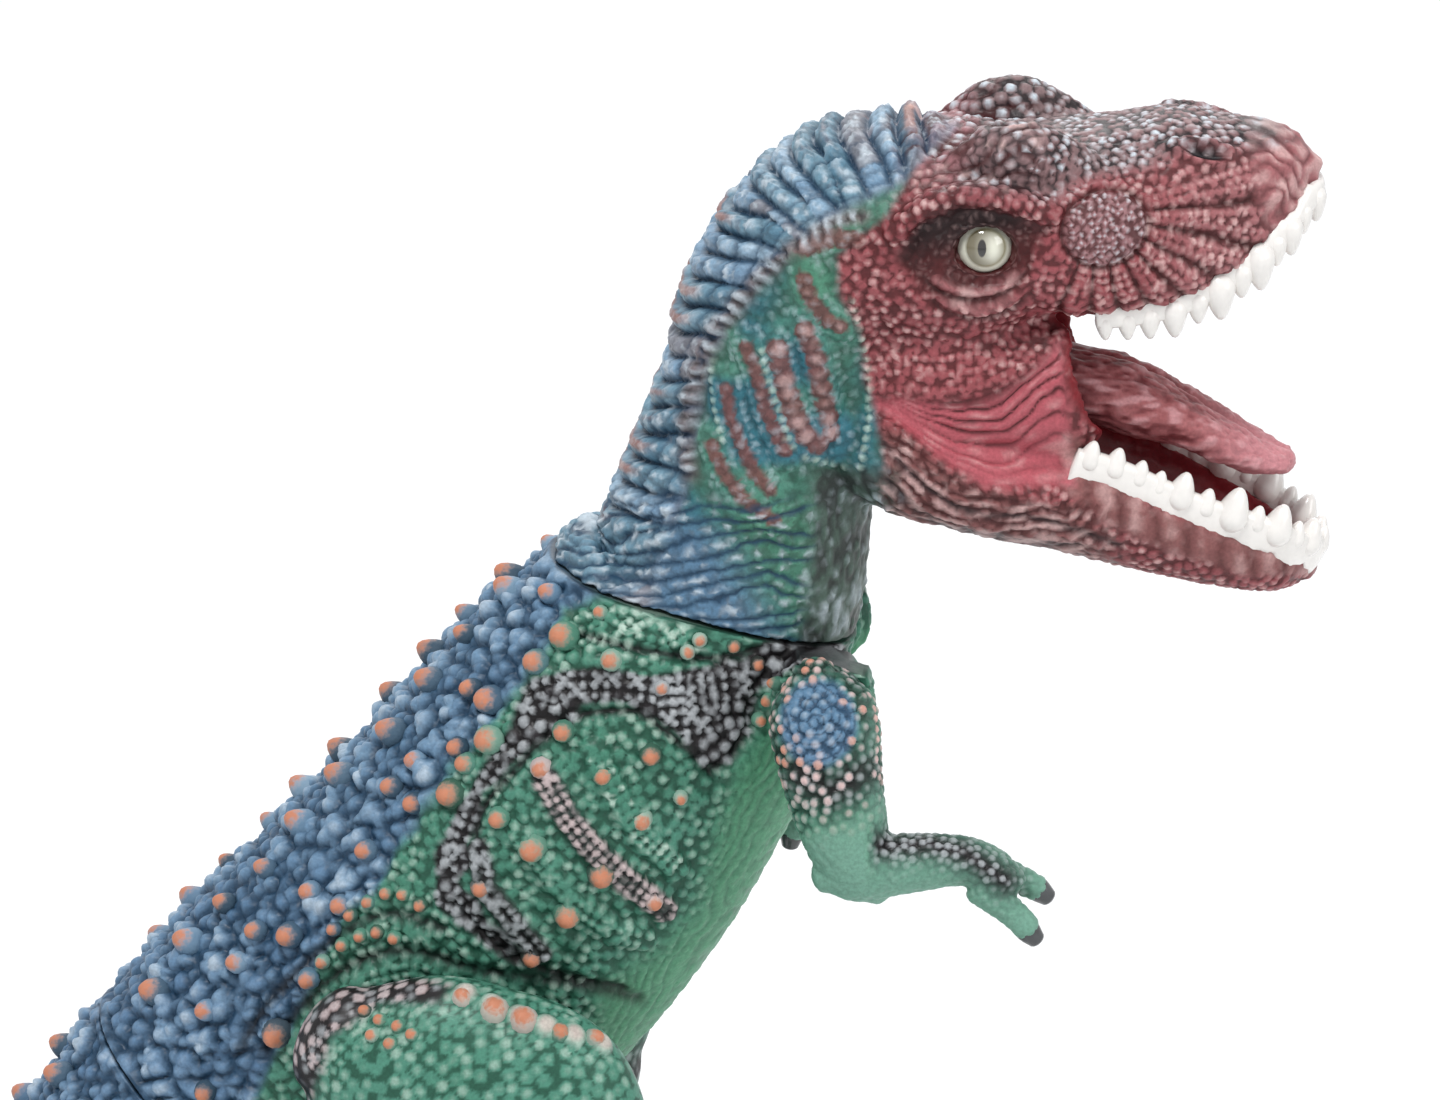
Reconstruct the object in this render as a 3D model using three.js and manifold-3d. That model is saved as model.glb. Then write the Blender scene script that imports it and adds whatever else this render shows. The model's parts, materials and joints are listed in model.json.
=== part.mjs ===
import * as THREE from "three";
import { mergeVertices } from "three/addons/utils/BufferGeometryUtils.js";
import Module from "manifold-3d";

// Toy dinosaur figure: a standing meat-eater with its mouth open. Seven hollow soft-vinyl castings
// turn on one another on push-in spools at the neck, tail, shoulders and hips. The eyes, the two
// rows of teeth and the tongue are separate mouldings pushed into the head.
// Millimetres. +X is the way it faces, +Y its left side, +Z up, and the floor is z = 0.

const wasm = await Module();
wasm.setup();

// Walls, fits and cuts
const wall = 2.6; // the cast vinyl
const mouthWall = 5; // round the throat and the palate, where the tongue's root is seated
const fitGap = 0.3; // round what is pushed or glued into a casting
const seatGap = 0.4; // between a casting and the one that it turns against
const runGap = 0.5; // round a spool, in the torso that it turns in
const cutOverrun = 6; // how far a cutter runs past what it cuts
const floorSink = 0.5; // how deep the soles and the tail are cut flat

// Torso
const hipHeight = 122;
const torsoLength = 116; // from the hip axis to the neck seam
const torsoWidth = 73;
const torsoDepth = 88;

// Neck and head
const neckLength = 86;
const neckWidth = 50; // at its seam with the torso
const neckDepth = 60;
const neckLean = 15; // degrees forward of upright, at the seam
const headLength = 98;
const headWidth = 57;
const headHeight = 43;
const jawHeight = 28;

// Eyes, teeth and tongue
const eyeRadius = 6.5;
const orbitRadius = 11;
const lowerStripHeight = 8;
const upperStripHeight = 5.6;
const toothStripThickness = 4.2;
const lowerToothHeight = 5.6; // the tallest tooth, above its strip
const upperToothHeight = 8.6;
const toothRadius = 2.05;
const lowerLip = 50; // degrees round the jaw from its top
const upperLip = 140; // degrees round the muzzle from its top
const lowerToothLean = 68; // degrees above forward, the way the teeth point
const upperToothLean = -82;
const lowerRowStartCount = 8; // how many of the jaw's sections lie behind the row
const upperRowStartCount = 2;
const tongueWidth = 19;
const tongueThickness = 8.5;

// Tail
const tailLength = 220;
const tailWidth = 60; // at its seam with the torso
const tailDepth = 76;
const tailSlope = 44; // degrees below level, at the seam

// Legs
const thighDepth = 60;
const thighWidth = 32;
const shankDepth = 29;
const shankWidth = 25;
const footWidth = 28;
const footHeight = 20;
const toeLength = 44;
const toeWidth = 13;
const toeSplay = 15; // how far the outer toes' tips stand from the middle one

// Arms
const armLength = 34; // from the shoulder to the elbow
const forearmLength = 38;
const armDepth = 24;
const armWidth = 19;
const fingerLength = 16;
const fingerWidth = 7;
const leftArmSwing = 50; // degrees that the left arm hangs back from where the right one is

// Spools and what they turn in
const neckBoreRadius = 14;
const tailBoreRadius = 14;
const hipBoreRadius = 10;
const shoulderBoreRadius = 4.2;
const flangeLap = 3.2; // how far a flange reaches past its bore
const flangeThickness = 2.2;
const seamWall = 4; // the torso's wall at the neck and the tail
const hipPlinthRadius = 24;
const hipPlinthDepth = 8;
const shoulderPlinthRadius = 11;
const shoulderPlinthDepth = 8;
const plinthSpread = 1.45; // a plinth's inner radius against its outer one
const hubLap = 5; // how far a limb's flat hub reaches past its bore

// Scutes on the back
const scuteHeight = 4.4;
const scuteRadius = 3.2;
const scuteSpacing = 15; // along the back
const scuteLean = 0.35; // how far they lean back, against their height
const seamMargin = 11; // without scutes, next to a seam
const tailScuteReach = 150; // how far down the tail they go

// How finely the castings are faceted
const bodySides = 14;
const innerSides = 7;
const limbSides = 9;
const smallSides = 6;
const toothSides = 5;
const roundSides = 12;
const thighSides = 10;
const shankHollowSides = 3;
const flatShare = Math.cos(Math.PI / roundSides); // a faceted round's flats against its corners
// How square the sections are: 2 is an ellipse
const bodyPower = 2.3;
const muzzlePower = 3.5;
const jawPower = 2.6;
const cheekPower = 2.8;
const mouthPower = 2.4; // the mouth's carving, the tongue and the feet
const endDomeShare = 0.6; // an end's bulge, as a share of its last section's height

const degrees = Math.PI / 180;
const origin = new THREE.Vector3();
const vinylGreen = "#2f7d5b";
const vinylBlue = "#4a7fae";
const vinylRed = "#9a3f44";
const toothWhite = "#f3f0ee";
const tonguePink = "#b4525a";
const eyeCream = "#e9e6d2";
const spoolGrey = "#d8d8d4";

// A unit vector in the plane of symmetry, at an angle above level.
function heading(angle) {
  return new THREE.Vector3(Math.cos(angle * degrees), 0, Math.sin(angle * degrees));
}

// A closed solid from a geometry.
function solidOf(geometry) {
  geometry.deleteAttribute("normal");
  geometry.deleteAttribute("uv");
  const merged = mergeVertices(geometry, 1e-4);
  return new wasm.Manifold(
    new wasm.Mesh({
      numProp: 3,
      vertProperties: merged.attributes.position.array,
      triVerts: new Uint32Array(merged.index.array),
    }),
  );
}

// The geometry of a solid.
function geometryOf(solid) {
  const mesh = solid.getMesh();
  return new THREE.BufferGeometry()
    .setAttribute("position", new THREE.BufferAttribute(mesh.vertProperties.slice(), 3))
    .setIndex(new THREE.BufferAttribute(mesh.triVerts.slice(), 1));
}

function join(...solids) {
  return solids.reduce((all, next) => all.add(next));
}

function cut(solid, ...cutters) {
  return cutters.reduce((left, cutter) => left.subtract(cutter), solid);
}

// The biggest of the bodies that a solid falls into.
function biggest(solid) {
  return solid.decompose().reduce((big, body) => (body.volume() > big.volume() ? body : big));
}

// What of a solid lies past a plane that faces `normal` and stands `offset` in front of `point`.
function keepPast(solid, point, normal, offset = 0) {
  return solid.trimByPlane(normal.toArray(), normal.dot(point) + offset);
}

// A round bar along `axis`, from `from` to `to` in front of `point`.
function bar(point, axis, radius, from, to) {
  const geometry = new THREE.CylinderGeometry(radius, radius, to - from, roundSides);
  geometry.applyQuaternion(
    new THREE.Quaternion().setFromUnitVectors(new THREE.Vector3(0, 1, 0), axis),
  );
  const middle = axis.clone().multiplyScalar((from + to) / 2).add(point);
  return solidOf(geometry.translate(...middle.toArray()));
}

function ball(point, radius, sides = limbSides) {
  const geometry = new THREE.SphereGeometry(radius, sides, Math.round(sides / 2));
  return solidOf(geometry.translate(...point.toArray()));
}

// A cone whose base centre is at `point`.
function cone(point, axis, radius, height, sides) {
  const geometry = new THREE.ConeGeometry(radius, height, sides);
  geometry.translate(0, height / 2, 0);
  geometry.applyQuaternion(
    new THREE.Quaternion().setFromUnitVectors(new THREE.Vector3(0, 1, 0), axis),
  );
  return solidOf(geometry.translate(...point.toArray()));
}

// Rows of [x, y, z, half width, height above, height below], with `steps` per stretch along a
// Catmull-Rom curve through them.
function smoothRows(rows, steps) {
  const fine = [];
  const last = rows.length - 1;
  for (let i = 0; i < last; i += 1) {
    const [before, from, to, after] = [i - 1, i, i + 1, i + 2].map(
      (k) => rows[Math.min(Math.max(k, 0), last)],
    );
    for (let step = 0; step < steps; step += 1) {
      const t = step / steps;
      fine.push(
        from.map((value, column) => {
          const slopeIn = (to[column] - before[column]) / 2;
          const slopeOut = (after[column] - value) / 2;
          const rise = to[column] - value;
          return (
            value +
            t * slopeIn +
            t ** 2 * (3 * rise - 2 * slopeIn - slopeOut) +
            t ** 3 * (slopeIn + slopeOut - 2 * rise)
          );
        }),
      );
    }
  }
  fine.push(rows[last]);
  return fine;
}

// The unit vectors along and above a row of a spine, both in a plane of constant y.
function rowFrame(rows, i) {
  const from = rows[Math.max(i - 1, 0)];
  const to = rows[Math.min(i + 1, rows.length - 1)];
  const along = new THREE.Vector3(to[0] - from[0], 0, to[2] - from[2]).normalize();
  return { along, above: new THREE.Vector3(-along.z, 0, along.x) };
}

// The point of a row's section at an angle from its top, turning towards +Y.
function rowPoint(rows, i, angle, { power = 2, grow = 0 } = {}) {
  const [x, y, z, half, up, down] = rows[i];
  const { above } = rowFrame(rows, i);
  const c = Math.cos(angle);
  const s = Math.sin(angle);
  const rise = Math.sign(c) * Math.abs(c) ** (2 / power) * ((c > 0 ? up : down) + grow);
  const side = Math.sign(s) * Math.abs(s) ** (2 / power) * (half + grow);
  return new THREE.Vector3(x, y + side, z).addScaledVector(above, rise);
}

// A closed skin through the sections of a spine. A section that `grow` leaves no room for is
// passed over, so a hollow stops where its walls meet.
function loft(shape, { sides = limbSides, steps = 2, grow = 0, power = 2 } = {}) {
  const rows = smoothRows(shape, steps).filter(
    (row) => Math.min(row[3], row[4], row[5]) + grow > Math.abs(grow) / 3,
  );
  const last = rows.length - 1;
  [0, last].forEach((i) => {
    const reach = (i ? 1 : -1) * Math.max(grow, 0);
    const { along } = rowFrame(rows, i);
    const [x, y, z, ...heights] = rows[i];
    rows[i] = [x + reach * along.x, y, z + reach * along.z, ...heights];
  });
  const points = [];
  rows.forEach((row, i) => {
    for (let k = 0; k < sides; k += 1) {
      points.push(rowPoint(rows, i, (k / sides) * 2 * Math.PI, { power, grow }));
    }
  });
  [0, last].forEach((i) => {
    const [x, y, z, , up, down] = rows[i];
    const bulge = (endDomeShare * (up + down)) / 2 + grow;
    const outward = i === 0 ? -bulge : bulge;
    points.push(new THREE.Vector3(x, y, z).addScaledVector(rowFrame(rows, i).along, outward));
  });
  const faces = [];
  for (let i = 0; i < last; i += 1) {
    for (let k = 0; k < sides; k += 1) {
      const a = i * sides + k;
      const b = i * sides + ((k + 1) % sides);
      faces.push(a, a + sides, b, a + sides, b + sides, b);
    }
  }
  const start = points.length - 2;
  for (let k = 0; k < sides; k += 1) {
    const next = (k + 1) % sides;
    faces.push(start, k, next);
    faces.push(start + 1, last * sides + next, last * sides + k);
  }
  const geometry = new THREE.BufferGeometry().setFromPoints(points);
  return solidOf(geometry.setIndex(faces));
}

// A spool that holds a casting to the torso: a bore-filling shaft between two flanges. `axis`
// points from the torso to the casting, and the torso's seat is at `point`. With `grow` it is the
// room that the spool needs to turn in.
function spool(point, axis, boreRadius, torsoWall, grow = 0) {
  const spread = grow ? 1 / flatShare : 1;
  const shaftRadius = (boreRadius - runGap + grow) * spread;
  const flangeRadius = (boreRadius + flangeLap + grow) * spread;
  const outerFace = seatGap + wall + fitGap;
  const innerFace = -torsoWall - fitGap;
  return join(
    bar(point, axis, shaftRadius, innerFace - fitGap, outerFace + fitGap),
    bar(point, axis, flangeRadius, outerFace - grow, outerFace + flangeThickness + grow),
    bar(point, axis, flangeRadius, innerFace - flangeThickness - grow, innerFace + grow),
  );
}

// A row of teeth: a strip along the lip of a spine from row `first` round its tip, with a cone at
// each place of the tooth table. `lip` is the angle of the lip on the section, and `rise` the way
// that the teeth point. With `grow` it is the slot that the row needs.
function toothRow(row, grow = 0) {
  const { rows, first, lip, rise, power, stripHeight, toothHeight, toothShares } = row;
  const last = rows.length - 2;
  const lipPoint = (i, angle) => rowPoint(rows, i, angle, { power });
  const right = [];
  for (let i = first; i <= last; i += 1) right.push(lipPoint(i, -lip));
  const left = right.map(({ x, y, z }) => new THREE.Vector3(x, -y, z)).reverse();
  const tip = lipPoint(last, lip);
  const front = new THREE.Vector3(tip.x, 0, tip.z);
  const path = [...right, front.addScaledVector(rowFrame(rows, last).along, tip.y / 2), ...left];
  const acrossAt = (i) => {
    const from = path[Math.max(i - 1, 0)];
    const to = path[Math.min(i + 1, path.length - 1)];
    return to.clone().sub(from).cross(rise).normalize();
  };
  const curve = new THREE.CatmullRomCurve3(path.map((point) => point.clone()));
  const lastStep = path.length - 1;
  [
    [0, 1],
    [lastStep, lastStep - 1],
  ].forEach(([end, next]) => {
    const back = path[end].clone().sub(path[next]).normalize();
    path[end].addScaledVector(back, grow);
  });
  const half = toothStripThickness / 2 + grow;
  const low = -stripHeight / 2 - grow;
  const high = stripHeight / 2 + (grow ? toothHeight : 0);
  const points = path.flatMap((point, i) =>
    [
      [-half, low],
      [half, low],
      [half, high],
      [-half, high],
    ].map(([out, up]) =>
      point.clone().addScaledVector(acrossAt(i), out).addScaledVector(rise, up),
    ),
  );
  const corners = 4;
  const end = lastStep * corners;
  const faces = [0, 1, 2, 0, 2, 3, end, end + 2, end + 1, end, end + 3, end + 2];
  for (let i = 0; i + 1 < path.length; i += 1) {
    for (let k = 0; k < corners; k += 1) {
      const a = i * corners + k;
      const b = i * corners + ((k + 1) % corners);
      faces.push(a, a + corners, b, b, a + corners, b + corners);
    }
  }
  const strip = solidOf(new THREE.BufferGeometry().setFromPoints(points).setIndex(faces));
  if (grow) return strip;
  const teeth = toothShares.flatMap(([place, size]) =>
    [place / 2, 1 - place / 2].map((at) =>
      cone(
        curve.getPointAt(at),
        rise,
        toothRadius * Math.sqrt(size),
        stripHeight / 2 + toothHeight * size,
        toothSides,
      ),
    ),
  );
  return join(strip, ...teeth);
}

// The body's spine runs from the tip of the tail to the tip of the snout, and the seams at the
// tail and the neck are cut through its skin.
// Tail: the distance behind the seam in shares of the tail's length, how much of the seam's height
// is left above the floor, then half the width, the top and the underside in shares of the tail's
// width and depth at the seam.
const tailShares = [
  [1, 0, 0.03, 0.025, 0.03],
  [0.964, 0, 0.06, 0.046, 0.055],
  [0.841, 0, 0.11, 0.085, 0.105],
  [0.705, 0, 0.17, 0.135, 0.16],
  [0.568, 0, 0.23, 0.19, 0.215],
  [0.432, 0.08, 0.29, 0.245, 0.265],
  [0.309, 0.246, 0.36, 0.3, 0.315],
  [0.191, 0.474, 0.425, 0.375, 0.38],
  [0.091, 0.737, 0.475, 0.44, 0.447],
];
// Torso: [forward, up] from the hip in shares of the torso's length, then half the width in
// shares of its width and the back's and belly's height in shares of its depth.
const torsoShares = [
  [-0.241, -0.095, 0.445, 0.477, 0.489],
  [-0.06, 0.052, 0.473, 0.517, 0.523],
  [0.103, 0.224, 0.486, 0.511, 0.523],
  [0.259, 0.414, 0.5, 0.5, 0.5],
  [0.379, 0.586, 0.466, 0.477, 0.466],
  [0.474, 0.724, 0.411, 0.42, 0.45],
];
const tailSeamShare = [-0.405, -0.233]; // from the hip, in shares of the torso's length
const neckSeamShare = [0.552, 0.832];
const shoulderShare = [0.73, 0.71];
const shoulderSeatShare = 0.41; // half the distance between the shoulder seats, of the width
const hipSeatShare = 0.48;
// Neck, from its seam: in shares of its length, and of its width and depth at the seam.
const neckShares = [
  [0.058, 0.227, 0.48, 0.463, 0.45],
  [0.11, 0.477, 0.46, 0.4, 0.4],
  [0.186, 0.744, 0.48, 0.4, 0.417],
  [0.314, 0.948, 0.52, 0.375, 0.467],
];
// Skull, from the nape: in shares of the head's length, width and height.
const skullShares = [
  [0.184, 0.02, 0.491, 0.512, 0.698],
  [0.327, 0.031, 0.5, 0.488, 0.512],
  [0.459, 0.051, 0.456, 0.442, 0.395],
  [0.592, 0.061, 0.404, 0.453, 0.442],
  [0.694, 0.092, 0.351, 0.43, 0.419],
  [0.796, 0.112, 0.307, 0.372, 0.349],
  [0.878, 0.138, 0.246, 0.279, 0.256],
  [0.949, 0.153, 0.158, 0.163, 0.14],
  [0.99, 0.148, 0.06, 0.07, 0.07],
];
// Muzzle, with the upper lip round its underside: as the skull's.
const muzzleShares = [
  [0.408, -0.031, 0.439, 0.256, 0.233],
  [0.53, -0.026, 0.425, 0.256, 0.267],
  [0.663, -0.011, 0.377, 0.256, 0.267],
  [0.765, 0.025, 0.325, 0.209, 0.233],
  [0.857, 0.071, 0.254, 0.163, 0.186],
  [0.934, 0.112, 0.167, 0.116, 0.128],
  [0.985, 0.13, 0.07, 0.07, 0.07],
];
// Jaw, cheek, throat, mouth floor and palate: from the nape in shares of the head's length, then
// half the width in shares of the head's, and the heights in shares of the jaw's.
const jawShares = [
  [-0.082, -0.367, 0.316, 0.357, 0.357],
  [0.02, -0.408, 0.421, 0.5, 0.536],
  [0.133, -0.449, 0.465, 0.464, 0.571],
  [0.306, -0.505, 0.456, 0.357, 0.571],
  [0.49, -0.551, 0.43, 0.429, 0.536],
  [0.653, -0.612, 0.395, 0.357, 0.482],
  [0.816, -0.684, 0.333, 0.286, 0.375],
  [0.939, -0.74, 0.237, 0.214, 0.25],
  [1.005, -0.765, 0.07, 0.12, 0.12],
];
const cheekShares = [
  [0, -0.224, 0.351, 0.571, 0.714],
  [0.153, -0.265, 0.412, 0.786, 0.786],
  [0.306, -0.296, 0.421, 0.643, 0.643],
  [0.429, -0.316, 0.412, 0.679, 0.679],
  [0.469, -0.316, 0.395, 0.607, 0.607],
];
const throatShares = [
  [0.204, -0.296, 0.14, 0.143, 0.143],
  [0.296, -0.296, 0.263, 0.321, 0.321],
  [0.408, -0.286, 0.342, 0.464, 0.464],
  [0.51, -0.276, 0.386, 0.464, 0.536],
  [0.612, -0.276, 0.42, 0.43, 0.5],
];
const floorShares = [
  [0.367, -0.429, 0.14, 0.179, 0.143],
  [0.49, -0.459, 0.298, 0.286, 0.214],
  [0.653, -0.526, 0.289, 0.286, 0.232],
  [0.816, -0.607, 0.237, 0.286, 0.179],
  [0.908, -0.658, 0.14, 0.25, 0.125],
  [0.939, -0.673, 0.06, 0.08, 0.08],
];
// The hump of the mouth's floor that the tongue's root lies on.
const tongueBedShares = [
  [0.24, -0.36, 0.11, 0.16, 0.22],
  [0.36, -0.375, 0.13, 0.22, 0.36],
  [0.48, -0.395, 0.13, 0.26, 0.46],
  [0.58, -0.43, 0.1, 0.24, 0.4],
];
const palateShares = [
  [0.408, -0.143, 0.246, 0.107, 0.286],
  [0.592, -0.133, 0.289, 0.143, 0.286],
  [0.735, -0.082, 0.228, 0.143, 0.286],
  [0.857, -0.01, 0.158, 0.107, 0.25],
  [0.908, 0.031, 0.07, 0.06, 0.11],
];
// Brow: as the skull's, and it stands `browOutShare` of the head's width off the middle.
const browShares = [
  [0.22, 0.2, 0.05, 0.09, 0.12],
  [0.28, 0.21, 0.11, 0.17, 0.19],
  [0.35, 0.218, 0.13, 0.2, 0.21],
  [0.42, 0.21, 0.11, 0.17, 0.19],
  [0.5, 0.2, 0.05, 0.09, 0.12],
];
const browOutShare = 0.28;
// Tongue: as the jaw's, but its width and thickness in shares of its own.
const tongueShares = [
  [0.16, -0.3, 0.28, 0.28, 0.28],
  [0.255, -0.302, 0.34, 0.36, 0.36],
  [0.347, -0.3, 0.42, 0.45, 0.45],
  [0.469, -0.325, 0.5, 0.74, 0.8],
  [0.612, -0.375, 0.52, 0.8, 0.85],
  [0.755, -0.442, 0.5, 0.6, 0.4],
  [0.878, -0.505, 0.42, 0.45, 0.41],
  [0.959, -0.526, 0.24, 0.26, 0.26],
];
const eyeShare = [0.277, 0.043, 0.36]; // forward and up in head lengths, out in head widths
const orbitShare = [0.277, 0.043, 0.6];
// Teeth: the place along half of the row, from the back of the mouth to the front, and the size.
const lowerToothShares = [
  [0.04, 0.5],
  [0.13, 0.62],
  [0.22, 0.4],
  [0.31, 0.5],
  [0.41, 0.9],
  [0.51, 0.5],
  [0.61, 1],
  [0.71, 0.5],
  [0.81, 0.95],
  [0.93, 0.8],
];
const upperToothShares = [
  [0.04, 0.5],
  [0.13, 0.6],
  [0.23, 0.7],
  [0.34, 0.95],
  [0.45, 0.7],
  [0.56, 1],
  [0.67, 0.75],
  [0.79, 0.95],
  [0.92, 0.7],
];

const fromHip = ([forward, up]) =>
  new THREE.Vector3(forward * torsoLength, 0, hipHeight + up * torsoLength);
const neckSeam = fromHip(neckSeamShare);
const tailSeam = fromHip(tailSeamShare);
const shoulder = fromHip(shoulderShare);
const napeShare = neckShares[neckShares.length - 1];
const nape = new THREE.Vector3(napeShare[0] * neckLength, 0, napeShare[1] * neckLength).add(neckSeam);
const atHead = ([forward, up, out], side) =>
  new THREE.Vector3(forward * headLength, side * out * headWidth, up * headLength).add(nape);
const neckAxis = heading(90 - neckLean);
const tailAxis = heading(180 + tailSlope);
const outTo = (side) => new THREE.Vector3(0, side, 0);
const hipPoint = (side) => new THREE.Vector3(0, side * torsoWidth * hipSeatShare, hipHeight);
const shoulderPoint = (side) =>
  new THREE.Vector3(shoulder.x, side * torsoWidth * shoulderSeatShare, shoulder.z);

// The rows of a table, from a point: the first two columns in shares of a length, the third of a
// width and the last two of a depth. `y` is how far they stand off the middle.
function rowsFrom(start, shares, length, width, depth, y = 0) {
  return shares.map(([forward, up, half, above, below]) => [
    start.x + forward * length,
    y,
    start.z + up * length,
    half * width,
    above * depth,
    below * depth,
  ]);
}

const tailLift = tailSeam.z - tailDepth / 2;
const tailRows = tailShares.map(([behind, lift, half, above, below]) => [
  tailSeam.x - behind * tailLength,
  0,
  below * tailDepth - floorSink + lift * tailLift,
  half * tailWidth,
  above * tailDepth,
  below * tailDepth,
]);
const hip = fromHip([0, 0]);
const bodyRows = [
  ...tailRows,
  [tailSeam.x, 0, tailSeam.z, tailWidth / 2, tailDepth / 2, tailDepth / 2],
  ...rowsFrom(hip, torsoShares, torsoLength, torsoWidth, torsoDepth),
  [neckSeam.x, 0, neckSeam.z, neckWidth / 2, neckDepth / 2, neckDepth / 2],
  ...rowsFrom(neckSeam, neckShares, neckLength, neckWidth, neckDepth),
  ...rowsFrom(nape, skullShares, headLength, headWidth, headHeight),
];
const tailSeamRow = tailRows.length;
const neckSeamRow = tailSeamRow + torsoShares.length + 1;
const bodySkin = loft(bodyRows, { sides: bodySides, power: bodyPower });
const bodyHollow = loft(bodyRows, { sides: innerSides, grow: -wall, power: bodyPower, steps: 1 });

const pastNeck = (solid, offset) => keepPast(solid, neckSeam, neckAxis, offset);
const pastTail = (solid, offset) => keepPast(solid, tailSeam, tailAxis, offset);
const between = (solid, offset) =>
  keepPast(
    keepPast(solid, neckSeam, neckAxis.clone().negate(), offset),
    tailSeam,
    tailAxis.clone().negate(),
    offset,
  );
const fromFloor = (solid, offset) => keepPast(solid, hip, new THREE.Vector3(0, 0, 1), offset - hipHeight);

// Rows of scutes along the back: degrees round the body from its top, how far on the row starts in
// shares of the spacing, and the size.
const scuteRowShares = [
  [13, 0, 1],
  [40, 0.5, 1],
  [62, 0, 0.8],
];
const stepsPerRow = 12;
const fineBody = smoothRows(bodyRows, stepsPerRow);
const fineReach = [];
fineBody.forEach(([x, , z], i) => {
  const [fromX, , fromZ] = fineBody[Math.max(i - 1, 0)];
  fineReach.push((i ? fineReach[i - 1] : 0) + Math.hypot(x - fromX, z - fromZ));
});
const tailSeamReach = fineReach[tailSeamRow * stepsPerRow];
const neckSeamReach = fineReach[neckSeamRow * stepsPerRow];

// The scutes on both sides of the body, between two lengths along its spine.
function scutesBetween(start, end) {
  const made = [];
  scuteRowShares.forEach(([turn, shift, share]) => {
    for (let reach = start + shift * scuteSpacing; reach < end; reach += scuteSpacing) {
      const i = fineReach.findIndex((length) => length >= reach);
      const { along, above } = rowFrame(fineBody, i);
      const size = share * Math.min(1, fineBody[i][4] / (tailDepth / 4));
      [-turn * degrees, turn * degrees].forEach((angle) => {
        const axis = above
          .clone()
          .multiplyScalar(Math.cos(angle))
          .add(new THREE.Vector3(0, Math.sin(angle), 0))
          .addScaledVector(along, -scuteLean)
          .normalize();
        const foot = rowPoint(fineBody, i, angle, { power: bodyPower, grow: -wall / 2 });
        made.push(cone(foot, axis, scuteRadius * size, wall / 2 + scuteHeight * size, toothSides));
      });
    }
  });
  return made;
}

// The boss that stands on the torso under a limb's seat, spreading inwards.
function plinth(point, axis, radius, depth) {
  const geometry = new THREE.CylinderGeometry(radius, radius * plinthSpread, depth, roundSides);
  geometry.translate(0, -depth / 2, 0);
  geometry.applyQuaternion(
    new THREE.Quaternion().setFromUnitVectors(new THREE.Vector3(0, 1, 0), axis),
  );
  return solidOf(geometry.translate(...point.toArray()));
}

function torsoShell() {
  const scutes = scutesBetween(tailSeamReach + seamMargin, neckSeamReach - seamMargin);
  const seats = [1, -1].flatMap((side) => [
    plinth(hipPoint(side), outTo(side), hipPlinthRadius, hipPlinthDepth),
    plinth(shoulderPoint(side), outTo(side), shoulderPlinthRadius, shoulderPlinthDepth),
  ]);
  const swept = [1, -1].flatMap((side) => [
    bar(hipPoint(side), outTo(side), thighDepth / 2 + cutOverrun, 0, torsoWidth),
    bar(shoulderPoint(side), outTo(side), armDepth / 2 + cutOverrun, 0, torsoWidth),
  ]);
  const bores = [
    [neckSeam, neckAxis, neckBoreRadius, seamWall],
    [tailSeam, tailAxis, tailBoreRadius, seamWall],
    ...[1, -1].flatMap((side) => [
      [hipPoint(side), outTo(side), hipBoreRadius, hipPlinthDepth],
      [shoulderPoint(side), outTo(side), shoulderBoreRadius, shoulderPlinthDepth],
    ]),
  ].map((seat) => spool(...seat, runGap));
  const shell = cut(between(join(bodySkin, ...scutes), 0), between(bodyHollow, seamWall));
  return cut(between(join(shell, ...seats), 0), ...swept, ...bores);
}

const lowerTeeth = {
  rows: smoothRows(rowsFrom(nape, jawShares, headLength, headWidth, jawHeight), 2),
  first: lowerRowStartCount,
  lip: lowerLip * degrees,
  rise: heading(lowerToothLean),
  power: jawPower,
  stripHeight: lowerStripHeight,
  toothHeight: lowerToothHeight,
  toothShares: lowerToothShares,
};
const upperTeeth = {
  rows: smoothRows(rowsFrom(nape, muzzleShares, headLength, headWidth, headHeight), 2),
  first: upperRowStartCount,
  lip: upperLip * degrees,
  rise: heading(upperToothLean),
  power: muzzlePower,
  stripHeight: upperStripHeight,
  toothHeight: upperToothHeight,
  toothShares: upperToothShares,
};
const tongueSkin = (grow) =>
  loft(rowsFrom(nape, tongueShares, headLength, tongueWidth, tongueThickness), {
    grow,
    power: mouthPower,
  });

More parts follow.
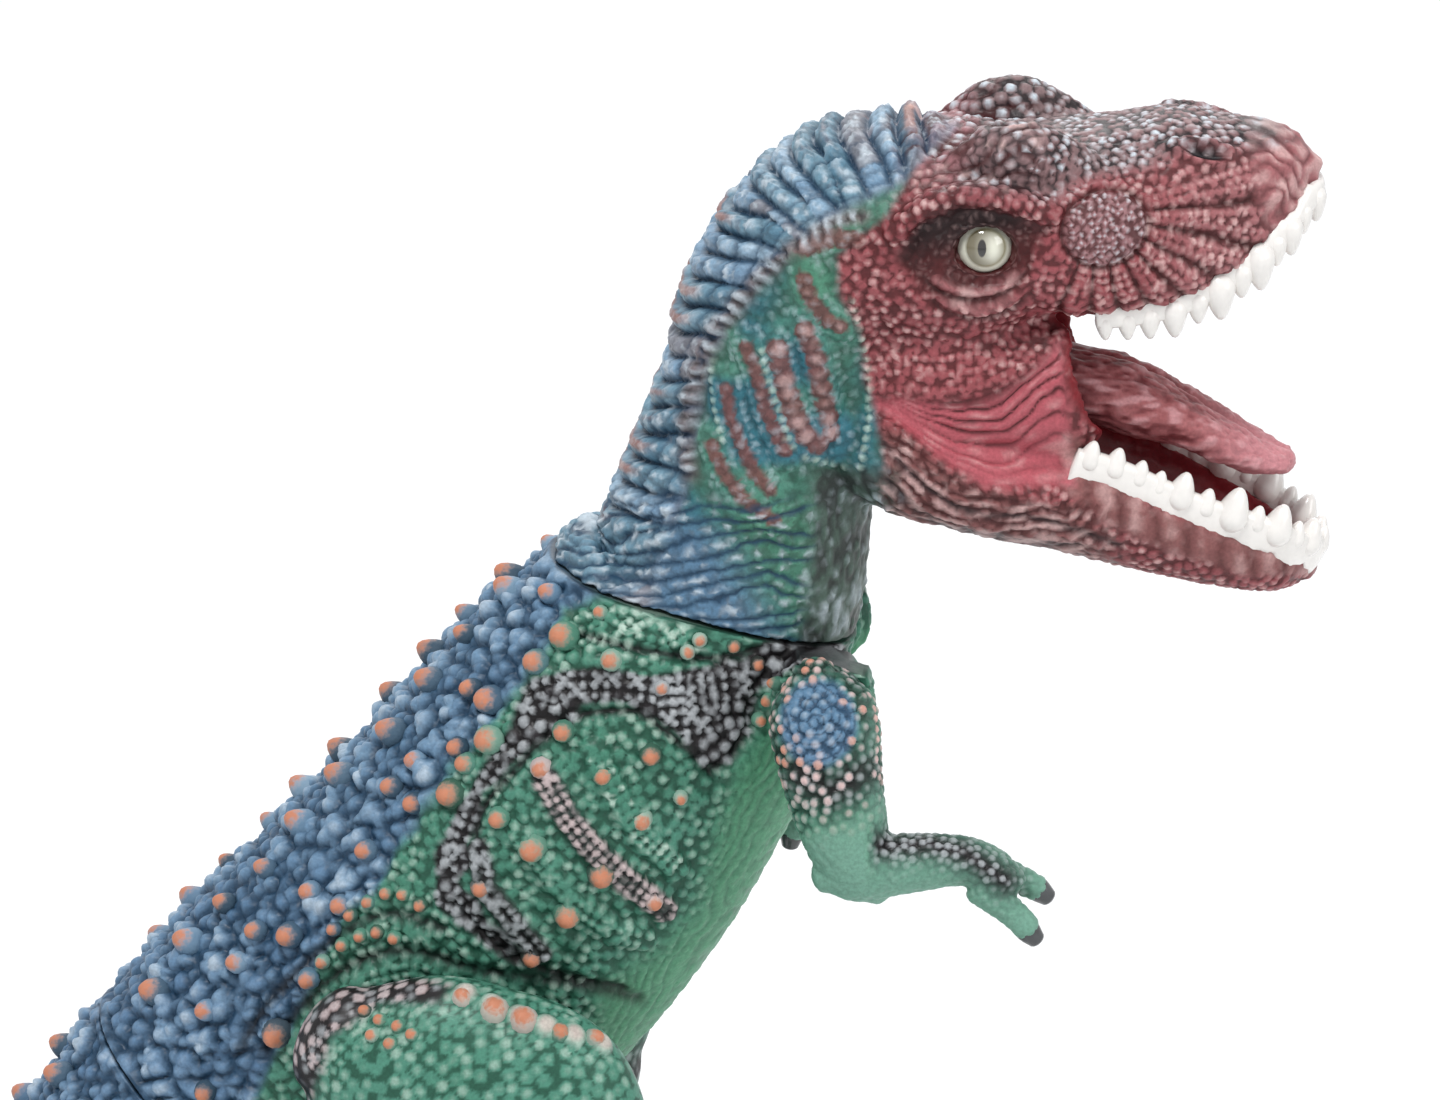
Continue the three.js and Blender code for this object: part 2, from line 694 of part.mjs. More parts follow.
function headShell() {
  const cavity = (shares, shape) =>
    loft(rowsFrom(nape, shares, headLength, headWidth, jawHeight), { power: mouthPower, ...shape });
  const jaw = cavity(jawShares, { sides: bodySides, power: jawPower });
  const cheek = cavity(cheekShares, { power: cheekPower });
  const muzzle = loft(rowsFrom(nape, muzzleShares, headLength, headWidth, headHeight), {
    sides: bodySides,
    power: muzzlePower,
  });
  const brows = [1, -1].map((side) => {
    const y = side * browOutShare * headWidth;
    return loft(rowsFrom(nape, browShares, headLength, headWidth, headHeight, y), { steps: 1 });
  });
  const mouth = [throatShares, floorShares, palateShares].map((shares) => cavity(shares, {}));
  const mouthWalls = [throatShares, palateShares].map((shares) =>
    cavity(shares, { grow: mouthWall, steps: 1 }),
  );
  const eyeRooms = (grow) =>
    [1, -1].flatMap((side) => [
      ball(atHead(eyeShare, side), eyeRadius + grow, bodySides),
      ball(atHead(orbitShare, side), orbitRadius + grow),
    ]);
  const outside = pastNeck(join(bodySkin, muzzle, jaw, cheek, ...brows), seatGap);
  const hollow = biggest(cut(pastNeck(bodyHollow, seatGap + wall), ...mouthWalls, ...eyeRooms(wall)));
  return cut(
    join(cut(outside, hollow, ...mouth), cavity(tongueBedShares, {})),
    ...eyeRooms(fitGap),
    tongueSkin(fitGap),
    toothRow(lowerTeeth, fitGap),
    toothRow(upperTeeth, fitGap),
    spool(neckSeam, neckAxis, neckBoreRadius, seamWall, fitGap),
  );
}

function tailShell() {
  const scutes = scutesBetween(tailSeamReach - tailScuteReach, tailSeamReach - seamMargin);
  return cut(
    fromFloor(pastTail(join(bodySkin, ...scutes), seatGap), 0),
    fromFloor(pastTail(bodyHollow, seatGap + wall), wall),
    spool(tailSeam, tailAxis, tailBoreRadius, seamWall, fitGap),
  );
}

// Leg spines in the leg's own frame, whose origin is the middle of the hip seat: forward and up in
// shares of the hip's height, then the distance out from the seat and half the width, and the
// front and back in shares of the depth.
const thighShares = [
  [-0.156, 0.098, 0.29, 0.31, 0.2, 0.23],
  [-0.074, 0.049, 0.38, 0.4, 0.4, 0.43],
  [0.041, -0.016, 0.45, 0.47, 0.5, 0.53],
  [0.156, -0.082, 0.51, 0.5, 0.53, 0.5],
  [0.238, -0.164, 0.54, 0.48, 0.4, 0.43],
  [0.287, -0.246, 0.55, 0.4, 0.24, 0.3],
  [0.311, -0.311, 0.56, 0.2, 0.1, 0.13],
];
const shankShares = [
  [0.295, -0.197, 0.66, 0.32, 0.28, 0.28],
  [0.27, -0.279, 0.66, 0.48, 0.43, 0.48],
  [0.23, -0.402, 0.66, 0.5, 0.43, 0.55],
  [0.164, -0.549, 0.64, 0.4, 0.34, 0.45],
  [0.111, -0.68, 0.62, 0.32, 0.28, 0.33],
  [0.074, -0.754, 0.62, 0.26, 0.22, 0.24],
];
// Foot: up from the floor in shares of the foot's height, and the depths too.
const footShares = [
  [0.041, 1.85, 0.6, 0.19, 0.25, 0.25],
  [0.098, 1.45, 0.6, 0.31, 0.4, 0.4],
  [0.189, 0.925, 0.6, 0.37, 0.43, 0.48],
  [0.287, 0.55, 0.6, 0.5, 0.45, 0.575],
  [0.377, 0.4, 0.6, 0.5, 0.35, 0.425],
  [0.426, 0.3, 0.6, 0.34, 0.2, 0.3],
];
// Toe: forward in shares of the toe's length, up and the heights in shares of the foot's height,
// how much of the splay it has, and half the width in shares of the toe's width.
const toeShares = [
  [0, 0.4, 0, 0.5, 0.35, 0.425],
  [0.4, 0.35, 0.4, 0.5, 0.3, 0.375],
  [0.66, 0.32, 0.68, 0.42, 0.27, 0.345],
  [0.86, 0.19, 0.88, 0.22, 0.15, 0.215],
  [1, 0.09, 1, 0.08, 0.05, 0.08],
];
const toeStartShare = 0.31; // where the toes start, in shares of the hip's height
const outerToeShare = 0.86; // the outer toes' length against the middle one's
const kneeOutShare = 0.6;

function legShell(side) {
  const limb = (shares, depth, width) =>
    shares.map(([forward, up, out, half, front, back]) => [
      forward * hipHeight,
      side * (seatGap + out * width),
      up * hipHeight,
      half * width,
      front * depth,
      back * depth,
    ]);
  const footOut = seatGap + kneeOutShare * footWidth;
  const foot = footShares.map(([forward, up, out, half, above, below]) => [
    forward * hipHeight,
    side * (seatGap + out * footWidth),
    up * footHeight - floorSink - hipHeight,
    half * footWidth,
    above * footHeight,
    below * footHeight,
  ]);
  const toe = (splay, length) =>
    toeShares.map(([forward, up, out, half, above, below]) => [
      toeStartShare * hipHeight + forward * length,
      side * footOut + out * splay * toeSplay,
      up * footHeight - floorSink - hipHeight,
      half * toeWidth,
      above * footHeight,
      below * footHeight,
    ]);
  const thighRows = limb(thighShares, thighDepth, thighWidth);
  const shankRows = limb(shankShares, shankDepth, shankWidth);
  const seat = outTo(side);
  const floor = new THREE.Vector3(0, 0, -hipHeight);
  const up = new THREE.Vector3(0, 0, 1);
  const outside = join(
    loft(thighRows, { sides: thighSides }),
    loft(shankRows),
    loft(foot, { power: mouthPower }),
    ...[-1, 0, 1].map((splay) =>
      loft(toe(splay, splay ? toeLength * outerToeShare : toeLength), { sides: smallSides, steps: 1 }),
    ),
    bar(origin, seat, hipBoreRadius + hubLap, seatGap, seatGap + wall + flangeThickness),
  );
  const hollow = join(
    loft(thighRows, { sides: innerSides, grow: -wall, steps: 1 }),
    loft(shankRows, { sides: shankHollowSides, grow: -wall, steps: 1 }),
  );
  return cut(
    keepPast(keepPast(outside, origin, seat, seatGap), floor, up),
    keepPast(hollow, origin, seat, seatGap + wall),
    spool(origin, seat, hipBoreRadius, hipPlinthDepth, fitGap),
  );
}

// Arm spines in the arm's own frame, whose origin is the middle of the shoulder seat: forward and
// up in shares of the upper arm's or the forearm's length, out and half the width in shares of the
// arm's width, and the front and back in shares of its depth.
const upperArmShares = [
  [-0.07, 0.28, 0.27, 0.21, 0.2, 0.2],
  [-0.04, 0.15, 0.42, 0.44, 0.4, 0.42],
  [0, 0, 0.49, 0.51, 0.5, 0.5],
  [0.07, -0.38, 0.66, 0.5, 0.44, 0.46],
  [0.15, -0.7, 0.78, 0.45, 0.38, 0.4],
  [0.26, -0.94, 0.83, 0.37, 0.29, 0.33],
  [0.35, -1.09, 0.84, 0.16, 0.12, 0.12],
];
const elbowShare = [0.03, -0.96]; // in shares of the upper arm's length
const forearmShares = [
  [-0.04, -0.01, 0.83, 0.2, 0.14, 0.14],
  [0.14, 0.03, 0.83, 0.37, 0.29, 0.29],
  [0.46, 0.07, 0.82, 0.33, 0.27, 0.27],
  [0.76, 0.08, 0.8, 0.29, 0.22, 0.23],
  [0.95, 0.0, 0.78, 0.34, 0.19, 0.19],
  [1.05, -0.05, 0.78, 0.21, 0.12, 0.12],
];
const fingerShares = [
  [0, 0, 0, 0.52, 0.52, 0.52],
  [0.4, -0.22, 0.6, 0.47, 0.47, 0.47],
  [0.72, -0.48, 0.9, 0.44, 0.44, 0.46],
  [1, -0.78, 1, 0.22, 0.22, 0.24],
];
const fingerRoots = [
  { share: [0.9, 0.0], out: -0.12, drop: 0.75 },
  { share: [0.84, -0.06], out: 0.14, drop: 1.25 },
];
const fingerStraddle = 1.6; // how far each finger's tip stands aside of its root

function armShell(side) {
  const limb = (shares, length, start = [0, 0]) =>
    shares.map(([forward, up, out, half, front, back]) => [
      start[0] * armLength + forward * length,
      side * (seatGap + out * armWidth),
      start[1] * armLength + up * length,
      half * armWidth,
      front * armDepth,
      back * armDepth,
    ]);
  const handOut = seatGap + forearmShares[4][2] * armWidth;
  const finger = ({ share, out, drop }) =>
    fingerShares.map(([forward, up, aside, half, above, below]) => [
      elbowShare[0] * armLength + share[0] * forearmLength + forward * fingerLength,
      side * (handOut + out * armWidth + aside * Math.sign(out) * fingerStraddle),
      elbowShare[1] * armLength + share[1] * forearmLength + up * drop * fingerLength,
      half * fingerWidth,
      above * fingerWidth,
      below * fingerWidth,
    ]);
  const upperRows = limb(upperArmShares, armLength);
  const seat = outTo(side);
  const outside = join(
    loft(upperRows),
    loft(limb(forearmShares, forearmLength, elbowShare)),
    ...fingerRoots.map((root) => loft(finger(root), { sides: smallSides, steps: 1 })),
    bar(origin, seat, shoulderBoreRadius + hubLap, seatGap, seatGap + wall + flangeThickness),
  );
  return cut(
    keepPast(outside, origin, seat, seatGap),
    keepPast(loft(upperRows, { sides: innerSides, grow: -wall, steps: 1 }), origin, seat, seatGap + wall),
    spool(origin, seat, shoulderBoreRadius, shoulderPlinthDepth, fitGap),
  );
}

function piece(name, solid, color, roughness) {
  const mesh = new THREE.Mesh(
    geometryOf(solid),
    new THREE.MeshStandardMaterial({ color, roughness, metalness: 0 }),
  );
  mesh.name = name;
  return mesh;
}

// A group at a limb's seat, turned about the seat's axis, with its casting and the spool that
// holds it.
function partAt(position, swing, ...meshes) {
  const group = new THREE.Group();
  group.position.copy(position);
  group.rotation.y = swing * degrees;
  meshes.forEach((mesh) => group.add(mesh));
  return group;
}

const figure = new THREE.Group();
figure.add(
  piece("torso_shell", torsoShell(), vinylBlue, 0.45),
  piece("head_and_neck_shell", headShell(), vinylRed, 0.45),
  piece("neck_spool", spool(neckSeam, neckAxis, neckBoreRadius, seamWall), spoolGrey, 0.5),
  piece("upper_teeth", toothRow(upperTeeth), toothWhite, 0.35),
  piece("lower_teeth", toothRow(lowerTeeth), toothWhite, 0.35),
  piece("tongue", tongueSkin(0), tonguePink, 0.5),
  piece("left_eye", ball(atHead(eyeShare, 1), eyeRadius, bodySides), eyeCream, 0.1),
  piece("right_eye", ball(atHead(eyeShare, -1), eyeRadius, bodySides), eyeCream, 0.1),
  piece("tail_shell", tailShell(), vinylBlue, 0.45),
  piece("tail_spool", spool(tailSeam, tailAxis, tailBoreRadius, seamWall), spoolGrey, 0.5),
);
[
  ["left", 1, leftArmSwing],
  ["right", -1, 0],
].forEach(([word, side, armSwing]) => {
  const seat = outTo(side);
  figure.add(
    partAt(
      hipPoint(side),
      0,
      piece(`${word}_leg_shell`, legShell(side), vinylGreen, 0.45),
      piece(`${word}_hip_spool`, spool(origin, seat, hipBoreRadius, hipPlinthDepth), spoolGrey, 0.5),
    ),
    partAt(
      shoulderPoint(side),
      armSwing,
      piece(`${word}_arm_shell`, armShell(side), vinylGreen, 0.45),
      piece(
        `${word}_shoulder_spool`,
        spool(origin, seat, shoulderBoreRadius, shoulderPlinthDepth),
        spoolGrey,
        0.5,
      ),
    ),
  );
});

// The origin is on the floor, under the middle of the figure.
const box = new THREE.Box3().setFromObject(figure, true);
figure.position.x = -(box.min.x + box.max.x) / 2;

export default figure;
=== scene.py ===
import json
import math
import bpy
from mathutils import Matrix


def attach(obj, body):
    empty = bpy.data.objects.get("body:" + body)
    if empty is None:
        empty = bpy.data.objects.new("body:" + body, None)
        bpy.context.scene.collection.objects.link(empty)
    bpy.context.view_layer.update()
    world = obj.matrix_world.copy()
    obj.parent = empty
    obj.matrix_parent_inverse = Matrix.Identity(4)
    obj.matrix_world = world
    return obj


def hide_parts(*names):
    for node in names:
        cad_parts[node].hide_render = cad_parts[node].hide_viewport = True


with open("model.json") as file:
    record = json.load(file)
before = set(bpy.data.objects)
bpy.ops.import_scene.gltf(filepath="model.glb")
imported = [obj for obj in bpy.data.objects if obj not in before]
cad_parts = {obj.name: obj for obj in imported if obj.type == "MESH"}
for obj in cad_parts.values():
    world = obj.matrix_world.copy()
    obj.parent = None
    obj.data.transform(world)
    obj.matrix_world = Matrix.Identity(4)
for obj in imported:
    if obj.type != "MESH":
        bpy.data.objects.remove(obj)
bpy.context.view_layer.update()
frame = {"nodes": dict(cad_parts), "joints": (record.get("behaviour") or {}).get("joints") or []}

from types import SimpleNamespace

import bmesh
import bpy
import numpy as np
from mathutils import Vector, kdtree
from mathutils.bvhtree import BVHTree

print("frame loaded")

# Sizes in this file are millimetres, in the frame of the CAD part, and turn into metres in newMesh.
# Places marked "photo" are pixels of the photograph.

# Camera and light

cameraSettings = {
    "aim": (99.8, 0.0, 228.3),
    "elevation": 20.0,
    "distance": 1800.0,
    "mmPerPixel": 0.215,  # at the middle of the figure
    "photoSize": (1440, 1100),
    "sensor": 36.0,
    "clipEnd": 20.0,  # metres
}


def makeCamera(settings):
    data = bpy.data.cameras.new("photoCamera")
    camera = bpy.data.objects.new("photoCamera", data)
    bpy.context.scene.collection.objects.link(camera)
    tilt = math.radians(settings["elevation"])
    aim = Vector(settings["aim"])
    place = aim + Vector((0, -math.cos(tilt), math.sin(tilt))) * settings["distance"]
    camera.location = place / 1000
    camera.rotation_euler = (math.pi / 2 - tilt, 0, 0)
    data.sensor_width = settings["sensor"]
    data.sensor_fit = "HORIZONTAL"
    width = settings["photoSize"][0] * settings["mmPerPixel"]
    data.lens = settings["sensor"] * settings["distance"] / width
    data.clip_end = settings["clipEnd"]
    bpy.context.scene.camera = camera
    return np.array(place)


cameraPlace = makeCamera(cameraSettings)
tilt = math.radians(cameraSettings["elevation"])
cameraRight = np.array((1.0, 0.0, 0.0))
cameraUp = np.array((0.0, math.sin(tilt), math.cos(tilt)))
cameraForward = np.array((0.0, math.cos(tilt), -math.sin(tilt)))
pixelsPerSlope = cameraSettings["distance"] / cameraSettings["mmPerPixel"]
photoMiddle = np.array(cameraSettings["photoSize"]) / 2


# The photo places of points, with those of the far side taken to the near one.
def photoOf(points):
    near = points * np.array((1, 0, 1)) - np.abs(points * np.array((0, 1, 0)))
    ray = near - cameraPlace
    depth = ray @ cameraForward
    return (
        photoMiddle[0] + ray @ cameraRight / depth * pixelsPerSlope,
        photoMiddle[1] - ray @ cameraUp / depth * pixelsPerSlope,
    )


def rayThrough(px, py):
    ray = (
        cameraForward
        + cameraRight * (px - photoMiddle[0]) / pixelsPerSlope
        - cameraUp * (py - photoMiddle[1]) / pixelsPerSlope
    )
    return ray / np.linalg.norm(ray)


stageSettings = {
    "skyStrength": 0.55,
    "skyColour": (0.93, 0.96, 1.0, 1),
    "lampAim": (60, 0, 180),
    "lamps": {
        "key": {"place": (-250, -900, 2100), "size": 600, "watts": 30},
        "fill": {"place": (1600, -900, 900), "size": 900, "watts": 8},
        "back": {"place": (200, 1500, 1500), "size": 900, "watts": 12},
    },
    "floorSize": 8,  # metres
    "floorColour": (0.9, 0.9, 0.9, 1),
    "floorRoughness": 0.8,
}


# Sets a node's inputs, and links those whose value is another node's output.
def setInputs(node, values):
    for key, value in values.items():
        if isinstance(value, bpy.types.NodeSocket):
            node.id_data.links.new(value, node.inputs[key])
        else:
            node.inputs[key].default_value = value


def addNode(tree, kind, inputs=(), **settings):
    node = tree.nodes.new(kind)
    for key, value in settings.items():
        setattr(node, key, value)
    setInputs(node, dict(inputs))
    return node


# The shader lights the object, but the camera and reflections see plain white.
def whiteSeenDirectly(tree, shader, white):
    path = addNode(tree, "ShaderNodeLightPath").outputs
    seen = path["Is Camera Ray"]
    for ray in ("Is Glossy Ray", "Is Transmission Ray"):
        seen = addNode(tree, "ShaderNodeMath", {0: seen, 1: path[ray]}, operation="MAXIMUM").outputs[0]
    return addNode(tree, "ShaderNodeMixShader", {0: seen, 1: shader.outputs[0], 2: white.outputs[0]})


def makeSky(settings):
    world = bpy.data.worlds.new("paleRoom")
    bpy.context.scene.world = world
    world.use_nodes = True
    tree = world.node_tree
    plain = tree.nodes["Background"]
    setInputs(plain, {"Color": settings["skyColour"], "Strength": settings["skyStrength"]})
    white = addNode(tree, "ShaderNodeBackground", {"Color": (1, 1, 1, 1)})
    mix = whiteSeenDirectly(tree, plain, white)
    setInputs(tree.nodes["World Output"], {"Surface": mix.outputs[0]})


def makeLamp(name, lamp, aim):
    data = bpy.data.lights.new(name, "AREA")
    data.energy = lamp["watts"]
    data.size = lamp["size"] / 1000
    light = bpy.data.objects.new(name, data)
    light.location = Vector(lamp["place"]) / 1000
    light.rotation_euler = (Vector(aim) - Vector(lamp["place"])).to_track_quat("-Z", "Y").to_euler()
    bpy.context.scene.collection.objects.link(light)


def makeFloor(settings):
    bpy.ops.mesh.primitive_plane_add(size=settings["floorSize"], location=(0, 0, 0))
    floor = bpy.context.object
    floor.name = "floor"
    material = bpy.data.materials.new("paleFloor")
    material.use_nodes = True
    shader = material.node_tree.nodes["Principled BSDF"]
    setInputs(shader, {"Base Color": settings["floorColour"], "Roughness": settings["floorRoughness"]})
    floor.data.materials.append(material)


makeSky(stageSettings)
for name, lamp in stageSettings["lamps"].items():
    makeLamp(name, lamp, stageSettings["lampAim"])
makeFloor(stageSettings)
bpy.context.scene.view_settings.view_transform = "Standard"
print("stage set")

# Skins from tables of sections


# Rows of (x, y, z, half width, above, below) along a Catmull-Rom curve, about step apart.
def smoothRows(rows, step):
    rows = np.array(rows, float)
    padded = np.vstack([rows[:1], rows, rows[-1:]])
    fine = []
    for i in range(len(rows) - 1):
        before, a, b, after = padded[i : i + 4]
        count = max(1, round(np.linalg.norm(b[:3] - a[:3]) / step))
        for t in np.arange(count) / count:
            slopeIn, slopeOut, rise = (b - before) / 2, (after - a) / 2, b - a
            fine.append(
                a
                + t * slopeIn
                + t**2 * (3 * rise - 2 * slopeIn - slopeOut)
                + t**3 * (slopeIn + slopeOut - 2 * rise)
            )
    fine.append(rows[-1])
    return np.array(fine)


def spineFrames(fine):
    along = np.gradient(fine[:, [0, 2]], axis=0)
    along /= np.linalg.norm(along, axis=1, keepdims=True) + 1e-12
    zero = np.zeros(len(fine))
    return (
        np.stack([along[:, 0], zero, along[:, 1]], 1),
        np.stack([-along[:, 1], zero, along[:, 0]], 1),
    )


# Points and faces of a closed skin through the sections of a spine, with round ends.
def loft(rows, power=2.0, step=2.0, sides=48, dome=0.6):
    fine = smoothRows(rows, step)
    along, above = spineFrames(fine)
    turns = np.linspace(0, 2 * math.pi, sides, endpoint=False)
    c, s = np.cos(turns), np.sin(turns)
    c, s = np.sign(c) * np.abs(c) ** (2 / power), np.sign(s) * np.abs(s) ** (2 / power)

    def ring(i, scale, push):
        x, y, z, half, up, down = fine[i]
        heights = np.where(c > 0, up, down) * c * scale
        points = np.outer(heights, above[i]) + along[i] * push + np.array((x, y, z))
        points[:, 1] += half * s * scale
        return points

    rings = []
    domeTurns = np.radians((18, 36, 54, 72, 84))
    last = len(fine) - 1
    for i, sign, order in ((0, -1, domeTurns[::-1]), (last, 1, domeTurns)):
        bulge = dome * (fine[i][4] + fine[i][5]) / 2
        rings.append([ring(i, math.cos(a), sign * bulge * math.sin(a)) for a in order])
    rings = rings[0] + [ring(i, 1, 0) for i in range(last + 1)] + rings[1]
    points = np.vstack(rings)
    tips = [
        fine[0][:3] - along[0] * dome * (fine[0][4] + fine[0][5]) / 2,
        fine[last][:3] + along[last] * dome * (fine[last][4] + fine[last][5]) / 2,
    ]
    points = np.vstack([points, tips])
    faces = []
    for i in range(len(rings) - 1):
        for k in range(sides):
            a, b = i * sides + k, i * sides + (k + 1) % sides
            faces.append((a, a + sides, b + sides, b))
    first, final = len(points) - 2, len(points) - 1
    lastRing = (len(rings) - 1) * sides
    for k in range(sides):
        faces.append((first, k, (k + 1) % sides))
        faces.append((final, lastRing + (k + 1) % sides, lastRing + k))
    return points, faces


def ball(center, radii, sides=32):
    x, y, z = center
    a, b, c = radii
    rows = [
        (x + a * math.sin(t), y, z, b * math.cos(t), c * math.cos(t), c * math.cos(t))
        for t in np.radians(np.linspace(-80, 80, sides // 2 + 1))
    ]
    return loft(rows, step=100, sides=sides, dome=0.1)


# A round boss whose outer face stands at center, facing side along y, spreading inwards.
def drum(center, side, radius, depth, spread=1.0, sides=48):
    turns = np.linspace(0, 2 * math.pi, sides, endpoint=False)
    points = []
    for out, size in ((0, radius), (-depth, radius * spread)):
        for t in turns:
            points.append(
                (
                    center[0] + size * math.cos(t),
                    center[1] + side * out,
                    center[2] + size * math.sin(t),
                )
            )
    faces = [
        (k, (k + 1) % sides, sides + (k + 1) % sides, sides + k) for k in range(sides)
    ]
    faces += [tuple(range(sides))[::-1], tuple(range(sides, 2 * sides))]
    if side < 0:
        faces = [face[::-1] for face in faces]
    return np.array(points), faces


def newMesh(name, points, faces):
    mesh = bpy.data.meshes.new(name)
    mesh.from_pydata((np.asarray(points) / 1000).tolist(), [], faces)
    mesh.update()
    return mesh


def newObject(name, mesh):
    thing = bpy.data.objects.new(name, mesh)
    bpy.context.scene.collection.objects.link(thing)
    return thing


def discard(thing):
    mesh = thing.data
    bpy.data.objects.remove(thing)
    bpy.data.meshes.remove(mesh)


def smoothShaded(thing):
    thing.data.polygons.foreach_set("use_smooth", np.ones(len(thing.data.polygons), bool))
    return thing


# A mesh's vertices as rows of x, y and z, in metres.
def verticesOf(mesh):
    flat = np.empty(len(mesh.vertices) * 3, np.float32)
    mesh.vertices.foreach_get("co", flat)
    return flat.reshape(-1, 3)


def moveVertices(mesh, places):
    mesh.vertices.foreach_set("co", places.astype(np.float32).ravel())
    mesh.update()


# Puts all of some meshes into one of them, or into another.
def gather(target, meshes):
    whole = bmesh.new()
    for mesh in meshes:
        whole.from_mesh(mesh)
    whole.to_mesh(target)
    whole.free()


# What of a skin lies in front of each (point, normal), closed with flat faces.
def trimmed(part, *planes):
    mesh = newMesh("part", *part)
    bm = bmesh.new()
    bm.from_mesh(mesh)
    bpy.data.meshes.remove(mesh)
    for point, normal in planes:
        cut = bmesh.ops.bisect_plane(
            bm,
            geom=bm.verts[:] + bm.edges[:] + bm.faces[:],
            dist=1e-7,
            plane_co=Vector(point) / 1000,
            plane_no=Vector(normal),
            clear_inner=True,
        )
        edges = [g for g in cut["geom_cut"] if isinstance(g, bmesh.types.BMEdge)]
        bmesh.ops.holes_fill(bm, edges=edges, sides=0)
    bmesh.ops.triangulate(bm, faces=bm.faces[:])
    points = np.array([v.co[:] for v in bm.verts]) * 1000
    faces = [tuple(v.index for v in f.verts) for f in bm.faces]
    bm.free()
    return points, faces


def joined(parts):
    points, faces, start = [], [], 0
    for p, f in parts:
        points.append(p)
        faces += [tuple(i + start for i in face) for face in f]
        start += len(p)
    return np.vstack(points), faces


def evaluated(thing):
    graph = bpy.context.evaluated_depsgraph_get()
    return bpy.data.meshes.new_from_object(thing.evaluated_get(graph))


carveVoxel = 0.8  # for a casting that is carved, before it gets its own
cutterVoxel = 1.0


def remesh(thing, voxel):
    grid = thing.modifiers.new("remesh", "REMESH")
    grid.mode = "VOXEL"
    grid.voxel_size = voxel / 1000


# One even skin round the parts, less the cutters, with the lids added last.
def united(parts, voxel, cutters=(), lids=()):
    thing = newObject("united", newMesh("united", *joined(parts)))
    remesh(thing, max(voxel, carveVoxel) if cutters else voxel)
    if cutters:
        cutter = newObject("cutter", newMesh("cutter", *joined(cutters)))
        remesh(cutter, cutterVoxel)
        less = thing.modifiers.new("less", "BOOLEAN")
        less.operation = "DIFFERENCE"
        less.solver = "EXACT"
        less.object = cutter
        gather(thing.data, (evaluated(thing), newMesh("lids", *joined(lids))))
        discard(cutter)
        thing.modifiers.clear()
        remesh(thing, voxel)
    mesh = evaluated(thing)
    discard(thing)
    return mesh


# The points, normals, edges and photo places of a casting's skin, in millimetres.
class Skin:

    def __init__(self, mesh):
        self.mesh = mesh
        self.read()

    def read(self):
        mesh = self.mesh
        count = len(mesh.vertices)
        self.points = verticesOf(mesh).astype(float) * 1000
        normals = np.empty(count * 3, np.float32)
        mesh.vertex_normals.foreach_get("vector", normals)
        self.normals = normals.reshape(-1, 3).astype(float)
        edges = np.empty(len(mesh.edges) * 2, np.int32)
        mesh.edges.foreach_get("vertices", edges)
        self.edges = edges.reshape(-1, 2)
        self.degree = np.bincount(self.edges.ravel(), minlength=count).astype(float) + 1e-9
        self.photo = photoOf(self.points)
        self.count = count

    # Each point's value averaged with its neighbours'.
    def blurred(self, values, rounds):
        values = values.astype(float)
        a, b = self.edges.T
        for _ in range(rounds):
            if values.ndim == 1:
                total = np.bincount(a, values[b], self.count) + np.bincount(b, values[a], self.count)
                values = 0.5 * values + 0.5 * total / self.degree
            else:
                values = np.stack([self.blurred(column, 1) for column in values.T], 1)
        return values

    def move(self, offsets):
        moveVertices(self.mesh, (self.points + offsets) / 1000)
        self.read()

    def storePaint(self, paint):
        attribute = self.mesh.attributes.new("paint", "FLOAT_COLOR", "POINT")
        rgba = np.hstack([paint, np.ones((self.count, 1))]).astype(np.float32)
        attribute.data.foreach_set("color", rgba.ravel())


# Noise, masks and lines


def hashed(i, j, k, seed):
    h = (
        i.astype(np.int64) * 374761393
        + j.astype(np.int64) * 668265263
        + k.astype(np.int64) * 1103515245
        + seed * 144269
    ) & 0xFFFFFFFF
    h = ((h ^ (h >> 13)) * 1274126177) & 0xFFFFFFFF
    h = ((h ^ (h >> 15)) * 2246822519) & 0xFFFFFFFF
    return ((h ^ (h >> 16)) & 0xFFFFFF) / float(0xFFFFFF)


# Smooth noise from -1 to 1, with lumps about size across.
def noise(points, size, seed):
    p = points / size
    base = np.floor(p).astype(np.int64)
    f = p - base
    f = f * f * (3 - 2 * f)
    total = 0
    for corner in np.ndindex(2, 2, 2):
        wx, wy, wz = np.where(corner, f, 1 - f).T
        total = total + wx * wy * wz * hashed(*(base + corner).T, seed)
    return total * 2 - 1


# Noise by name, from a table of its strength, the width of its lumps in mm, its seed and, where it is
# stretched, how much along each axis.
def noises(points, table):
    return SimpleNamespace(
        **{
            key: strength * noise(points * np.array(stretch or (1, 1, 1)).ravel(), size, seed)
            for key, (strength, size, seed, *stretch) in table.items()
        }
    )


def ramp(values, low, high):
    t = np.clip((values - low) / (high - low), 0, 1)
    return t * t * (3 - 2 * t)


# Falls from 1 at a middle value to 0 on both sides of it.
def bell(values, middle, width):
    return np.exp(-(((values - middle) / width) ** 2))


# Rounded ridges, 1 on top and 0 in sharp grooves.
def stripes(values, period):
    return np.abs(np.sin(math.pi * values / period))


